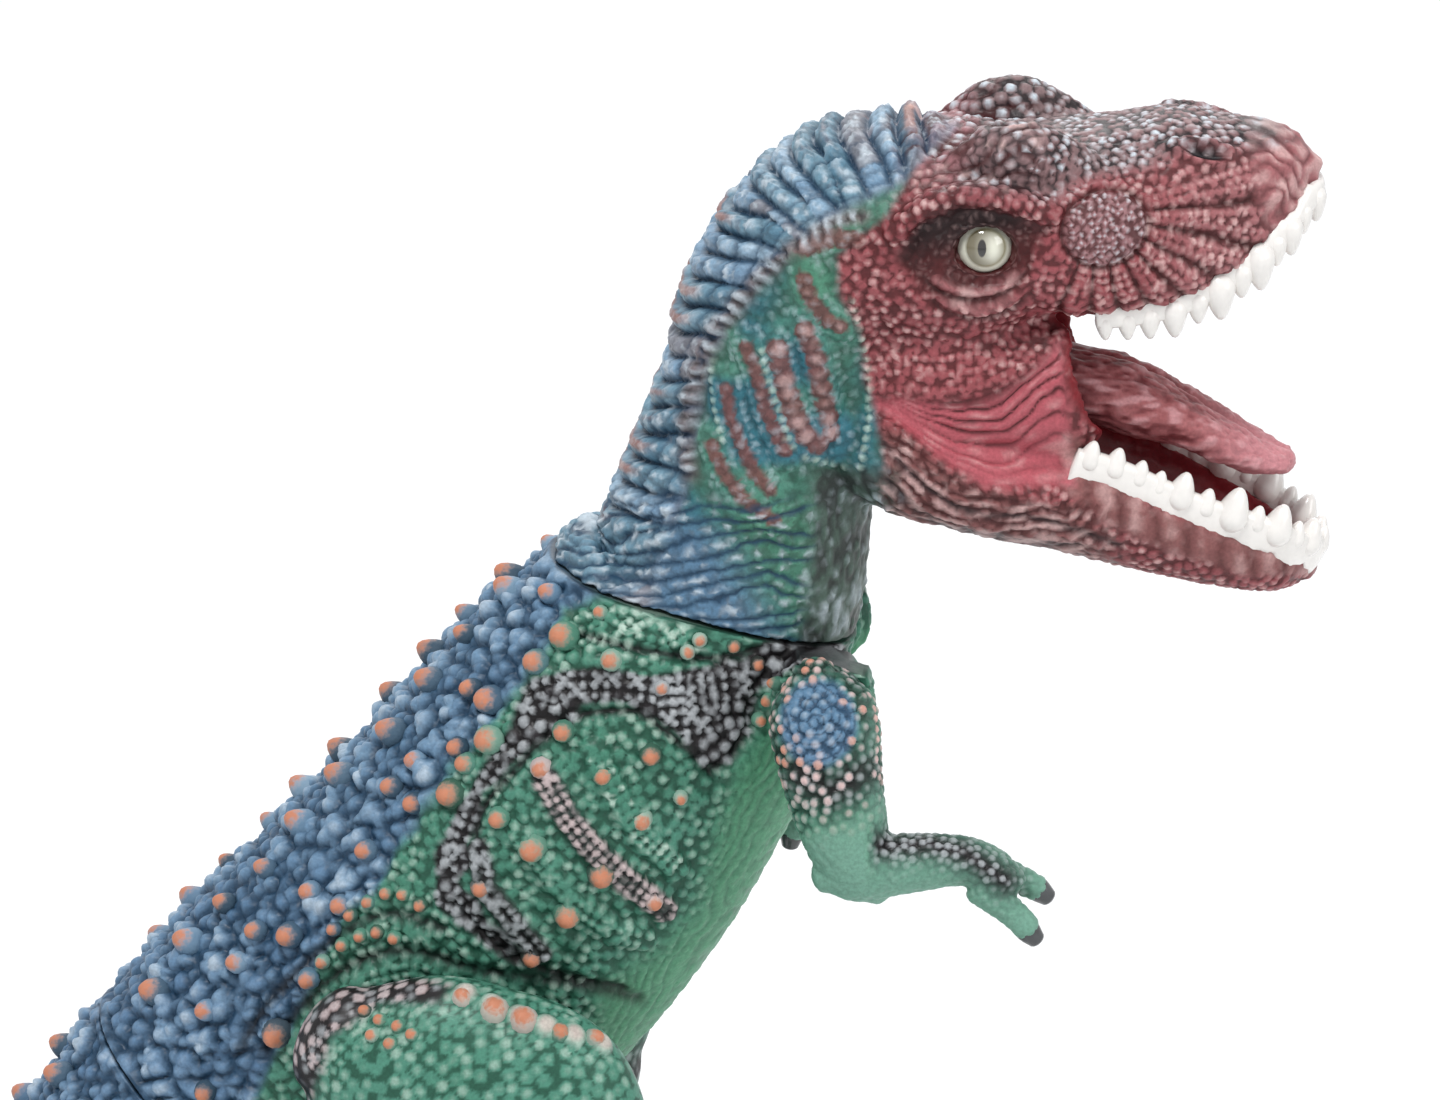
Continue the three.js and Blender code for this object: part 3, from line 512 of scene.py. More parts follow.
# Distance in pixels to a line of photo points, the length along it to the nearest place, and its side.
def lineField(photo, line):
    px, py = photo
    best = np.full(len(px), 1e9)
    reach = np.zeros(len(px))
    side = np.zeros(len(px))
    start = 0.0
    line = np.array(line, float)
    for a, b in zip(line[:-1], line[1:]):
        d = b - a
        length = np.hypot(*d)
        t = np.clip(((px - a[0]) * d[0] + (py - a[1]) * d[1]) / length**2, 0, 1)
        qx, qy = px - a[0] - t * d[0], py - a[1] - t * d[1]
        dist = np.hypot(qx, qy)
        nearer = dist < best
        best = np.where(nearer, dist, best)
        reach = np.where(nearer, start + t * length, reach)
        side = np.where(nearer, np.sign(d[0] * qy - d[1] * qx), side)
        start += length
    return best, reach, side


# 1 along photo lines, falling to 0 at their width in pixels.
def lineMask(photo, lines, width, spacing=14):
    mask = np.zeros(len(photo[0]))
    for line in lines:
        mask = np.maximum(mask, bell(lineField(photo, smoothRows(line, spacing))[0], 0, width))
    return mask


# 1 inside a polygon of photo points, falling to 0 over soft pixels.
def polygonMask(photo, corners, soft):
    px, py = photo
    inside = np.zeros(len(px), bool)
    corners = np.array(corners, float)
    for (ax, ay), (bx, by) in zip(corners, np.roll(corners, -1, axis=0)):
        crosses = (ay > py) != (by > py)
        where = px < (bx - ax) * (py - ay) / (by - ay + 1e-12) + ax
        inside ^= crosses & where
    dist, _, _ = lineField(photo, np.vstack([corners, corners[:1]]))
    return ramp(np.where(inside, dist, -dist), -soft / 2, soft / 2)


# 1 on the ellipse's edge, 0 in its middle.
def ellipseField(photo, center, radii, turn):
    px, py = photo
    c, s = math.cos(math.radians(turn)), math.sin(math.radians(turn))
    dx, dy = px - center[0], py - center[1]
    return np.hypot((dx * c + dy * s) / radii[0], (-dx * s + dy * c) / radii[1])


# Photo points spaced evenly along a line, moved aside by offset.
def alongLine(line, spacing, offset=0.0):
    line = np.array(line, float)
    steps = np.hypot(*np.diff(line, axis=0).T)
    reach = np.concatenate([[0], np.cumsum(steps)])
    places = np.arange(spacing / 2, reach[-1], spacing)
    x, y = np.interp(places, reach, line[:, 0]), np.interp(places, reach, line[:, 1])
    dx, dy = np.gradient(x), np.gradient(y)
    length = np.hypot(dx, dy) + 1e-9
    return list(zip(x - dy / length * offset, y + dx / length * offset))


# Photo points of rows of beads: each row has a line, a spacing and the offsets of its lines.
def beadRowPlaces(rows):
    return [
        place
        for row in rows
        for offset in row["offsets"]
        for place in alongLine(row["line"], row["step"], offset)
    ]


print("helpers ready")

# The castings' sections

# Sections along a spine: x, y, z, half width, height above, height below.
bodySections = [
    (-230, 0, 2, 1.8, 1.9, 2.3),
    (-222, 0, 3.7, 3.6, 3.5, 4.2),
    (-195, 0, 7.5, 6.6, 6.5, 8),
    (-165, 0, 11.7, 10.2, 10.3, 12.2),
    (-135, 0, 15.8, 13.8, 14.4, 16.3),
    (-105, 0, 24, 17.4, 18.6, 20),
    (-78, 0, 37.5, 21.6, 22.8, 24),
    (-52, 0, 55.5, 25.5, 28.5, 29),
    (-30, 0, 75.5, 28.5, 33.4, 34),
    (-10, 0, 95, 30, 38, 38),
    (9, 0, 111, 32.5, 42, 43),
    (30, 0, 128, 34.5, 45.5, 46),
    (49, 0, 148, 35.5, 45, 46),
    (67, 0, 170, 36.5, 44, 44),
    (81, 0, 190, 34, 42, 41),
    (92, 0, 206, 30, 37, 39.6),
    (101, 0, 218.5, 25, 30, 30),
    (106, 0, 238, 24, 27.8, 27),
    (110.5, 0, 259.5, 23, 24, 24),
    (117, 0, 282.5, 24, 24, 25),
    (128, 0, 300, 26, 22.5, 28),
    (146, 0, 302, 28, 22, 30),
    (160, 0, 303, 28.5, 21, 22),
    (173, 0, 305, 26, 19, 17),
    (186, 0, 306, 23, 19.5, 19),
    (196, 0, 309, 20, 18.5, 18),
    (206, 0, 311, 17.5, 16, 15),
    (214, 0, 313.6, 14, 12, 11),
    (221, 0, 315, 9, 7, 6),
    (225, 0, 314.5, 3.4, 3, 3),
]
jawSections = [
    (120, 0, 264, 18, 10, 10),
    (130, 0, 260, 24, 14, 15),
    (141, 0, 256, 26.5, 13, 16),
    (158, 0, 250.5, 26, 10, 16),
    (176, 0, 246, 24.5, 12, 15),
    (192, 0, 240, 22.5, 10, 13.5),
    (208, 0, 233, 19, 8, 10.5),
    (220, 0, 227.5, 13.5, 6, 7),
    (226.5, 0, 225, 4, 3.4, 3.4),
]
cheekSections = [
    (128, 0, 278, 20, 16, 20),
    (143, 0, 274, 23.5, 22, 22),
    (158, 0, 271, 24, 18, 18),
    (170, 0, 269, 23.5, 19, 19),
    (174, 0, 269, 22.5, 17, 17),
]
throatSections = [
    (148, 0, 271, 8, 4, 4),
    (157, 0, 271, 15, 9, 9),
    (168, 0, 272, 19.5, 13, 13),
    (178, 0, 273, 22, 13, 15),
    (188, 0, 273, 24, 12, 14),
]
floorSections = [
    (164, 0, 258, 8, 5, 4),
    (176, 0, 255, 17, 8, 6),
    (192, 0, 248.5, 16.5, 8, 6.5),
    (208, 0, 240.6, 13.5, 8, 5),
    (217, 0, 235.6, 8, 7, 3.5),
    (220, 0, 234, 3.4, 2.2, 2.2),
]
palateSections = [
    (168, 0, 286, 14, 3, 8),
    (186, 0, 287, 16.5, 4, 8),
    (200, 0, 292, 13, 4, 8),
    (212, 0, 299, 9, 3, 7),
    (217, 0, 303, 4, 1.7, 3.1),
]
muzzleSections = [
    (168, 0, 297, 25, 11, 10),
    (180, 0, 297.5, 24.2, 11, 11.5),
    (193, 0, 299, 21.5, 11, 11.5),
    (203, 0, 302.5, 18.5, 9, 10),
    (212, 0, 307, 14.5, 7, 8),
    (219.5, 0, 311, 9.5, 5, 5.5),
    (224.5, 0, 312.8, 4, 3, 3),
]
browSections = [
    (149, 16, 319.6, 2.9, 3.9, 5.2),
    (155, 16, 320.6, 6.3, 7.3, 8.2),
    (162, 16, 321.4, 7.4, 8.6, 9),
    (169, 16, 320.6, 6.3, 7.3, 8.2),
    (177, 16, 319.6, 2.9, 3.9, 5.2),
]
# The rim of the brow over the eye, and the bag under it.
rimSections = [
    (133, 24.5, 305, 1.8, 1.8, 1.8),
    (139, 25.2, 310.5, 3.2, 2.8, 2.8),
    (149, 24.8, 315.2, 4.0, 3.2, 3.4),
    (160, 24.4, 315, 3.8, 3, 3.2),
    (170, 23.6, 312, 3, 2.4, 2.4),
    (177, 22.6, 308.6, 1.6, 1.5, 1.5),
]
bagSections = [
    (143.5, 23.6, 301, 1.2, 1, 1),
    (148, 25, 297.4, 2, 1.6, 1.6),
    (156, 25.6, 295.6, 2.2, 1.8, 1.8),
    (164, 24.6, 298, 1.9, 1.5, 1.5),
    (168, 23.2, 302, 1.2, 1, 1),
]
tongueSections = [
    (146, 0, 270.6, 6, 2.6, 3),
    (154, 0, 270.6, 8, 4, 4),
    (163, 0, 271, 10, 5, 5.5),
    (174, 0, 268.2, 11, 6.5, 7.2),
    (188, 0, 263.2, 11.2, 7.2, 7.6),
    (202, 0, 256.4, 10.5, 5.6, 4.6),
    (213, 0, 251, 8.8, 4.2, 3.8),
    (221, 0, 248.8, 5.5, 2.8, 2.6),
]
thighSections = [
    (18, 44.7, 134, 9.9, 12, 14),
    (28, 47.6, 128, 12.8, 24, 26),
    (42, 49.8, 120, 15, 30, 32),
    (56, 51.8, 112, 16, 32, 30),
    (66, 52.7, 102, 15.4, 24, 26),
    (72, 53, 92, 12.8, 14.4, 18),
    (75, 53.4, 84, 6.4, 6, 8),
]
shankSections = [
    (73, 51.9, 98, 8, 8.1, 8.1),
    (70, 51.9, 88, 12, 12.5, 14),
    (65, 51.9, 73, 12.5, 12.5, 16),
    (57, 51.4, 55, 10, 9.9, 13.1),
    (50.5, 50.9, 39, 8, 8.1, 9.6),
    (46, 50.9, 30, 6.5, 6.4, 7),
]
footSections = [
    (42, 52.2, 36.5, 5.3, 5, 5),
    (49, 52.2, 28.5, 8.7, 8, 8),
    (60, 52.2, 18, 10.4, 8.6, 9.6),
    (72, 52.2, 10.5, 14, 9, 11.5),
    (83, 52.2, 7.5, 14, 7, 8.5),
    (89, 52.2, 5.5, 9.5, 4, 6),
]
# Toes: how far along the toe, then z, half width, above, below.
toeSections = [
    (0, 7.5, 6.5, 7, 8.5),
    (17, 6.5, 6.5, 6, 7.5),
    (28, 5.9, 5.5, 5.4, 6.9),
    (36, 3.6, 4, 3.6, 5),
]
toeSettings = {"start": (75, 52.2), "angles": (-22, 0, 22), "clawLength": 12}
upperArmSections = [
    (119.3, 35.5, 214, 4, 4.8, 4.8),
    (120.3, 38.3, 209.5, 8.4, 9.6, 10.1),
    (121.7, 39.6, 204.4, 9.7, 12, 12),
    (124, 42.9, 191.4, 9.5, 10.6, 11),
    (126.8, 45.1, 180.6, 8.6, 9.1, 9.6),
    (130.5, 46.1, 172.4, 7, 7, 7.9),
    (133.6, 46.3, 167.3, 3, 2.9, 2.9),
]
forearmSections = [
    (121.2, 46.1, 171.3, 3.8, 3.4, 3.4),
    (128, 46.1, 172.9, 7, 7, 7),
    (140.2, 45.9, 174.4, 6.3, 6.5, 6.5),
    (151.6, 45.5, 174.8, 5.5, 5.3, 5.5),
    (158.8, 45.1, 171.7, 6.5, 4.6, 4.6),
    (162.6, 45.1, 169.8, 4, 2.9, 2.9),
]
fingerSections = [
    [
        (157, 42.9, 171.7, 3.6, 3.6, 3.6),
        (163.3, 41.9, 169.1, 3.3, 3.3, 3.3),
        (167.5, 41.4, 166.6, 2.9, 2.9, 3),
    ],
    [
        (154.6, 47.8, 169.4, 3.6, 3.6, 3.6),
        (161, 48.8, 165, 3.3, 3.3, 3.3),
        (165.2, 49.3, 160.8, 2.9, 2.9, 3),
    ],
]
clawSections = [
    [
        (165.6, 41.5, 168, 2.5, 2.5, 2.5),
        (167.6, 41.4, 166.4, 2.5, 2.7, 2.7),
        (169.6, 41.3, 164.7, 1.9, 2.0, 2.0),
    ],
    [
        (163.4, 49.2, 162.6, 2.5, 2.5, 2.5),
        (165.2, 49.3, 160.3, 2.5, 2.7, 2.7),
        (166.9, 49.4, 158.4, 1.9, 2.0, 2.0),
    ],
]
# How square each form is: 2 is round. The body's sections that each casting takes.
squareness = {"body": 2.3, "muzzle": 3.5, "jaw": 2.6, "cheek": 2.8, "mouth": 2.4, "foot": 2.4}
bodySpans = {"head": (14, 30), "torso": (8, 18), "tail": (0, 11)}
bodyStep = 2.5  # between the rings of the body's loft
eyePlace = (155.2, 20.5, 304.3)
eyeRadius = 6.5
orbitPlace = (155.2, 34.2, 304.3)
orbitRadii = (11.55, 11, 11)
seatGap = 0.4  # between a casting and the one that it turns against
soleHeight = 0.05  # how far the flat faces stay above the floor

joints = {joint["name"]: joint for joint in frame["joints"]}


def jointPlane(name, offset):
    joint = joints[name]
    place, axis = np.array(joint["pos_m"]) * 1000, np.array(joint["axis"], float)
    return place + axis * offset, axis


def onSide(sections, side):
    return [(x, side * y, z, half, up, down) for x, y, z, half, up, down in sections]


def behind(plane):
    return plane[0], -plane[1]


# How far points are from a plane's (point, normal).
def fromPlane(points, plane):
    return np.abs((points - np.array(plane[0])) @ np.array(plane[1]))


neckPast = jointPlane("neck_swivel", seatGap)
neckBefore = behind(jointPlane("neck_swivel", 0))
tailPast = jointPlane("tail_swivel", seatGap)
tailBefore = behind(jointPlane("tail_swivel", 0))
shoulderPlace = jointPlane("left_shoulder", 0)[0]
hipPlace = jointPlane("left_hip", 0)[0]
armPlane = ((0, -shoulderPlace[1] - seatGap, 0), (0, -1, 0))
legPlane = ((0, -hipPlace[1] - seatGap, 0), (0, -1, 0))
floorPlane = ((0, 0, soleHeight), (0, 0, 1))

castingSettings = {
    "head": {"voxel": 0.55, "smooth": 10, "triangles": 195000},
    "torso": {"voxel": 0.62, "smooth": 8, "triangles": 195000},
    "tail": {"voxel": 0.7, "smooth": 6, "triangles": 160000},
    "leg": {"voxel": 0.75, "smooth": 8, "triangles": 120000},
    "arm": {"voxel": 0.42, "smooth": 6, "triangles": 90000},
    "tongue": {"voxel": 0.35, "smooth": 4, "triangles": 60000},
}

seamSettings = {
    "holdFade": (0.5, 2.5),  # how near to a seam the skin stays as it was cut
    "faceDepth": 0.8,
    "faceTurn": 0.85,
    # how much the flat faces at the seams are darkened: painted shade in the gaps between the castings
    "shade": 0.6,
    "normalRounds": 4,
}
# Round seats: how far out of the joint's place each stands, and its shape.
seatSettings = {
    "hip": {"out": 0, "radius": 24, "depth": 8, "spread": 1.45},
    "shoulder": {"out": 0, "radius": 11, "depth": 8, "spread": 1.05},
    "spoolCover": {"out": -6, "radius": 9.2, "depth": 7, "spread": 1.0},
    "leg": {"out": 8, "radius": 15, "depth": 8, "spread": 1.1},
    "arm": {"out": 4, "radius": 9.2, "depth": 4, "spread": 1.05},
}
# The eyelids: an arc round the eye, its radii and half its thickness.
lidSettings = {
    "halfWidth": 2.4,
    "sections": 13,
    "lids": [
        {"turns": (-12, 192), "radii": (7.2, 5.9), "thickness": 1.9, "out": 25.2},
        {"turns": (168, 372), "radii": (7.0, 5.7), "thickness": 1.5, "out": 24.6},
    ],
}


def lidRows(lid):
    x, _, z = eyePlace
    wide, high = lid["radii"]
    size = (lidSettings["halfWidth"], lid["thickness"], lid["thickness"])
    return [
        (x + wide * math.cos(t), lid["out"], z + high * math.sin(t), *size)
        for t in np.radians(np.linspace(*lid["turns"], lidSettings["sections"]))
    ]


def bodyPart(name, *planes):
    first, last = bodySpans[name]
    return trimmed(loft(bodySections[first:last], squareness["body"], bodyStep), *planes)


def seat(name, joint, side):
    shape = dict(seatSettings[name])
    x, y, z = joint
    return drum((x, side * (y + shape.pop("out")), z), side, **shape)


def mouthParts():
    return [loft(rows, squareness["mouth"]) for rows in (throatSections, floorSections, palateSections)]


# Each part gives its outer skins, what is carved out of them, and what is laid on them last.
def headPart():
    outer = [
        bodyPart("head", neckPast),
        loft(muzzleSections, squareness["muzzle"]),
        loft(jawSections, squareness["jaw"]),
        loft(cheekSections, squareness["cheek"]),
    ]
    carve = mouthParts()
    lids = [lidRows(lid) for lid in lidSettings["lids"]] + [rimSections, bagSections]
    x, y, z = orbitPlace
    for side in (1, -1):
        outer.append(loft(onSide(browSections, side)))
        carve.append(ball((x, side * y, z), orbitRadii))
    return outer, carve, [loft(onSide(lid, side), step=1) for lid in lids for side in (1, -1)]


def torsoPart():
    parts = [bodyPart("torso", neckBefore, tailBefore)]
    for side in (1, -1):
        parts.append(seat("hip", hipPlace, side))
        for name in ("shoulder", "spoolCover"):
            parts.append(trimmed(seat(name, shoulderPlace, side), neckBefore))
    return parts, (), ()


def tailPart():
    return [bodyPart("tail", tailPast, floorPlane)], (), ()


def toeSpine(angle, sections):
    x, y = toeSettings["start"]
    c, s = math.cos(math.radians(angle)), math.sin(math.radians(angle))
    return [(x + reach * c, -y + reach * s, z, *sizes) for reach, z, *sizes in sections]


def legPart():
    parts = [loft(onSide(sections, -1)) for sections in (thighSections, shankSections)]
    parts.append(loft(onSide(footSections, -1), squareness["foot"]))
    parts += [loft(toeSpine(angle, toeSections)) for angle in toeSettings["angles"]]
    parts.append(seat("leg", hipPlace, -1))
    return [trimmed(part, legPlane, floorPlane) for part in parts], (), ()


def armPart():
    sections = (upperArmSections, forearmSections, *fingerSections)
    parts = [loft(onSide(rows, -1)) for rows in sections] + [seat("arm", shoulderPlace, -1)]
    return [trimmed(part, armPlane) for part in parts], (), ()


def treeOf(places):
    tree = kdtree.KDTree(len(places))
    for i, place in enumerate(places):
        tree.insert(place, i)
    tree.balance()
    return tree


# The smoothed skin of one casting. The faces at its seams stay flat.
def casting(name, part, flats):
    setting = castingSettings[name]
    outer, carve, lids = part
    skin = Skin(united(outer, setting["voxel"], carve, lids))
    hold = np.ones(skin.count)
    for plane in flats:
        hold *= ramp(fromPlane(skin.points, plane), *seamSettings["holdFade"])
    soft = skin.blurred(skin.points, setting["smooth"])
    skin.move((soft - skin.points) * hold[:, None])
    skin.hold = hold
    skin.smoothNormals = skin.blurred(skin.normals, seamSettings["normalRounds"])
    skin.smoothNormals /= np.linalg.norm(skin.smoothNormals, axis=1, keepdims=True) + 1e-9
    # The flat faces at the seams, which get painted shade.
    skin.seamFace = np.zeros(skin.count)
    for plane in flats:
        close = fromPlane(skin.points, plane) < seamSettings["faceDepth"]
        along = np.abs(skin.smoothNormals @ np.array(plane[1])) > seamSettings["faceTurn"]
        skin.seamFace[close & along] = 1
    skin.tree = treeOf(skin.points)
    skin.surface = BVHTree.FromPolygons(
        skin.points.tolist(), [tuple(p.vertices) for p in skin.mesh.polygons]
    )
    print(name, "skin", skin.count)
    return skin


head = casting("head", headPart(), [neckPast])
torso = casting("torso", torsoPart(), [neckBefore, tailBefore])
tail = casting("tail", tailPart(), [tailPast, floorPlane])
leg = casting("leg", legPart(), [legPlane, floorPlane])
arm = casting("arm", armPart(), [armPlane])

# Scales


# Which points stand at least their own spacing apart, and clear of the fixed (point, radius).
def scatter(points, spacing, seed, fixed=(), most=70000):
    order = np.random.default_rng(seed).permutation(len(points))[:most]
    tree = treeOf(points[order])
    free = np.ones(len(order), bool)
    for point, radius in fixed:
        for _, k, _ in tree.find_range(point, radius):
            free[k] = False
    chosen = []
    for k, i in enumerate(order):
        if free[k]:
            chosen.append(i)
            for _, near, _ in tree.find_range(points[i], spacing[i]):
                free[near] = False
    return np.array(chosen)


# For each point: its height on the scale that it is on, faceted and then round, 0 in the groove and
# 1 on top, and a number from 0 to 1 that is the scale's own.
def cells(points, seeds, sizes, seed):
    tree = treeOf(seeds)
    near, far = np.empty(len(points)), np.empty(len(points))
    owner = np.empty(len(points), int)
    for i, point in enumerate(points):
        (_, owner[i], near[i]), (_, _, far[i]) = tree.find_n(point, 2)
    facet = 1 - (2 * near / (near + far + 1e-9)) ** 2
    bead = np.sqrt(np.clip(1 - (near / (0.63 * sizes[owner])) ** 2, 0, 1))
    chance = np.random.default_rng(seed).random(len(seeds))[owner]
    return facet, bead, chance


# Scales of a spacing all over a skin, save where a row's seed stands: the same three numbers.
def scalesWithRows(skin, spacing, rowSeeds, rowSettings, seeds):
    fixed = [(place, rowSettings["clear"]) for place in rowSeeds]
    chosen = scatter(skin.points, spacing, seeds[0], fixed)
    places = [skin.points[i] for i in chosen] + rowSeeds
    sizes = np.concatenate([spacing[chosen], np.full(len(rowSeeds), rowSettings["size"])])
    return cells(skin.points, places, sizes, seeds[1])


# A value all over a skin, changed to others where their masks are.
def blended(skin, value, changes):
    values = np.full(skin.count, float(value))
    for mask, other in changes:
        values += (other - values) * mask
    return values


# Where a ray meets a skin, with the normal and the distance there, or None.
def hitOf(skin, start, direction):
    place, normal, _, distance = skin.surface.ray_cast(Vector(start), Vector(direction))
    return (np.array(place), np.array(normal), distance) if place else None


# Where rays through photo points meet a skin.
def onSurface(skin, photoPoints):
    hits = [hitOf(skin, cameraPlace, rayThrough(px, py)) for px, py in photoPoints]
    return [hit[0] for hit in hits if hit]


middleReach = 1.5  # a place this near to the middle plane has no twin on the far side


def onBothSides(places):
    return places + [p * np.array((1, -1, 1)) for p in places if abs(p[1]) > middleReach]


# Raises a relief to a round stud, where the stud is the higher.
def bump(skin, center, radius, height, relief, power):
    for _, i, distance in skin.tree.find_range(center, radius):
        rise = (1 - (distance / radius) ** 2) ** power
        relief[i] = max(relief[i], height * rise)


# Paint

paintSettings = {
    "backBlue": "#5a7b99",
    "lowBlue": "#507092",
    "neckBlue": "#8eaabf",
    "deepBlue": "#19364e",
    "teal": "#2f6673",
    "green": "#4b8370",
    "neckGreen": "#4b8069",
    "frontGreen": "#4c5a52",
    "bellyGreen": "#549270",
    "armGreen": "#71998a",
    "deepGreen": "#1f4a3a",
    "darkGreen": "#2f6a52",
    "charcoal": "#1f1b1e",
    "black": "#100d0f",
    "crimson": "#984e53",
    "snoutRed": "#a0686a",
    "maroon": "#3a0d0e",
    "membrane": "#a8525b",
    "mauve": "#94696d",
    "mouthRed": "#6e141c",
    "patchTone": "#94797b",
    "jawBrown": "#7c5350",
    "ash": "#786a6a",
    "bead": "#b4c9bb",
    "ashBead": "#a9adb0",
    "darkBead": "#6f4441",
    "blush": "#dcb9b5",
    "pale": "#c3ced6",
    "orange": "#c07c5e",
    "footGreen": "#3c6f58",
    "tongueRed": "#98585a",
    "tongueDark": "#6a2d31",
    "tongueTip": "#c8888e",
    "tongueBud": "#c9979a",
    "tongueRoot": "#5a1c22",
    "tongueGroove": "#4a1015",
}


def colour(hexCode):
    value = np.array([int(hexCode[i : i + 2], 16) for i in (1, 3, 5)]) / 255
    return np.where(value <= 0.04045, value / 12.92, ((value + 0.055) / 1.055) ** 2.4)


def firstCoat(skin, name):
    return np.tile(colour(paintSettings[name]), (skin.count, 1))


# A paint with further coats on it, each a colour's name and a mask.
def painted(paint, coats):
    for name, mask in coats:
        paint = paint + (colour(paintSettings[name]) - paint) * np.clip(mask, 0, 1)[:, None]
    return paint


print("castings ready")

# The finish of painted vinyl and of the plain pieces

noiseSpan = (0.3, 0.7)  # what most of a noise node's values lie between
vinylSettings = {
    "roughness": (0.34, 0.52),
    "roughnessScale": 320,
    "grain": (0.86, 1.14),
    "grainScale": 1400,
    "specular": 0.25,
    "bump": {"scale": 2200, "detail": 4.0, "strength": 0.14, "distance": 0.0004},
}
plainSettings = {
    "toothPlastic": {"colour": "#e9e5e0", "roughness": 0.2, "coat": 0.5, "change": 0.05, "scale": 500},
    "clawHorn": {"colour": "#3f4244", "roughness": 0.25, "coat": 0.4, "change": 0.35, "scale": 260},
    "mouldedSpool": {"colour": "#c9c8c3", "roughness": 0.5, "coat": 0.0, "change": 0.08, "scale": 500},
}
plainSpan = (0.35, 0.65)
plainRoughness = {"low": 0.85, "high": 1.15, "scale": 0.6}  # shares of a finish's own
plainBump = {"scale": 2, "strength": 0.1, "distance": 0.0003}  # the scale is a share
plainCoatRoughness = 0.15


def newMaterial(name):
    material = bpy.data.materials.new(name)
    material.use_nodes = True
    tree = material.node_tree
    return material, tree, tree.nodes["Principled BSDF"]


def noiseNode(tree, scale, detail=3.0):
    place = addNode(tree, "ShaderNodeTexCoord").outputs["Object"]
    inputs = {"Vector": place, "Scale": scale, "Detail": detail}
    return addNode(tree, "ShaderNodeTexNoise", inputs).outputs["Fac"]


def rangeNode(tree, source, span, result):
    ends = dict(zip(("From Min", "From Max", "To Min", "To Max"), (*span, *result)))
    return addNode(tree, "ShaderNodeMapRange", {"Value": source, **ends}).outputs["Result"]


def mixNode(tree, blend, factor, first, second):
    node = addNode(tree, "ShaderNodeMix", data_type="RGBA", blend_type=blend)
    numbers = {socket.identifier: i for i, socket in enumerate(node.inputs)}
    values = {"Factor_Float": factor, "A_Color": first, "B_Color": second}
    setInputs(node, {numbers[key]: value for key, value in values.items()})
    return next(socket for socket in node.outputs if socket.identifier == "Result_Color")


def addBump(tree, shader, height, strength, distance):
    node = addNode(tree, "ShaderNodeBump", {"Strength": strength, "Distance": distance, "Height": height})
    setInputs(shader, {"Normal": node.outputs["Normal"]})


def attributeNode(tree, name):
    return addNode(tree, "ShaderNodeAttribute", attribute_name=name)


# Painted vinyl: the skin's paint with a fine grain in its colour, its gloss and its surface.
def vinylMaterial(name, settings):
    material, tree, shader = newMaterial(name)
    paint = attributeNode(tree, "paint").outputs["Color"]
    grain = rangeNode(tree, noiseNode(tree, settings["grainScale"]), noiseSpan, settings["grain"])
    channels = dict.fromkeys(("Red", "Green", "Blue"), grain)
    grainColour = addNode(tree, "ShaderNodeCombineColor", channels).outputs[0]
    wearAndSheen = noiseNode(tree, settings["roughnessScale"])
    setInputs(shader, {
        "Base Color": mixNode(tree, "MULTIPLY", 1.0, paint, grainColour),
        "Roughness": rangeNode(tree, wearAndSheen, noiseSpan, settings["roughness"]),
        "Specular IOR Level": settings["specular"],
    })
    bump = settings["bump"]
    height = noiseNode(tree, bump["scale"], bump["detail"])
    addBump(tree, shader, height, bump["strength"], bump["distance"])
    return material


def plainMaterial(name):
    settings = plainSettings[name]
    material, tree, shader = newMaterial(name)
    tone, scale, roughness = colour(settings["colour"]), settings["scale"], settings["roughness"]
    blotch = rangeNode(tree, noiseNode(tree, scale), plainSpan, (0, 1))
    gloss = (roughness * plainRoughness["low"], roughness * plainRoughness["high"])
    wearAndSheen = noiseNode(tree, scale * plainRoughness["scale"])
    setInputs(shader, {
        "Base Color": mixNode(tree, "MIX", blotch, (*tone, 1), (*(tone * (1 - settings["change"])), 1)),
        "Roughness": rangeNode(tree, wearAndSheen, noiseSpan, gloss),
        "Coat Weight": settings["coat"],
        "Coat Roughness": plainCoatRoughness,
    })
    height = noiseNode(tree, scale * plainBump["scale"])
    addBump(tree, shader, height, plainBump["strength"], plainBump["distance"])
    return material
print("finishes ready")

# The head and the neck

# Heights and depths of the head's forms.
headSettings = {
    "scaleDepth": 0.4,  # a share of the scales' spacing
    "fanHeight": 1.9,
    "browHeight": 1.7,
    "lidHeight": 1.5,
    "lidGrooveDepth": 1.1,
    "orbitDepth": 1.6,
    "noseCreaseHeight": 0.7,
    "patchHeight": 0.8,
    "patchRimHeight": 0.55,
    "patchGrooveDepth": 0.9,
    "nostrilRimHeight": 1.1,
    "nostrilHoodHeight": 0.9,
    "nostrilDepth": 2.6,
    "wrinkleHeight": 0.8,
    "crestHeight": 4.2,
    "knobHeight": 0.5,
    "ridgeletHeight": 0.45,
    "pleatHeight": 1.1,
    "tatterHeight": 1.8,
    "membraneDepth": 1.5,
    "membraneFoldHeight": 0.45,
    "membraneCrispHeight": 0.9,
    "jawLineHeight": 1.1,
    "jawStrandHeight": 0.7,
    "jawCreaseDepth": 0.9,
    "lipLumpHeight": 0.35,
    "ropeHeight": 0.7,
    "ropeLumpHeight": 1.1,
    "beadRidgeHeight": 1.6,
}
# Distances between ridges, folds or lumps, in photo pixels but for the fan, which is in degrees.
headPeriods = {
    "fan": 17,
    "noseCrease": 24,
    "wrinkle": 21,
    "crest": 27,
    "knob": 19,
    "pleat": 15,
    "jaw": 12,
    "lip": 33,
    "rope": 14,
    "membrane": 1 / 7,  # of the way across
}
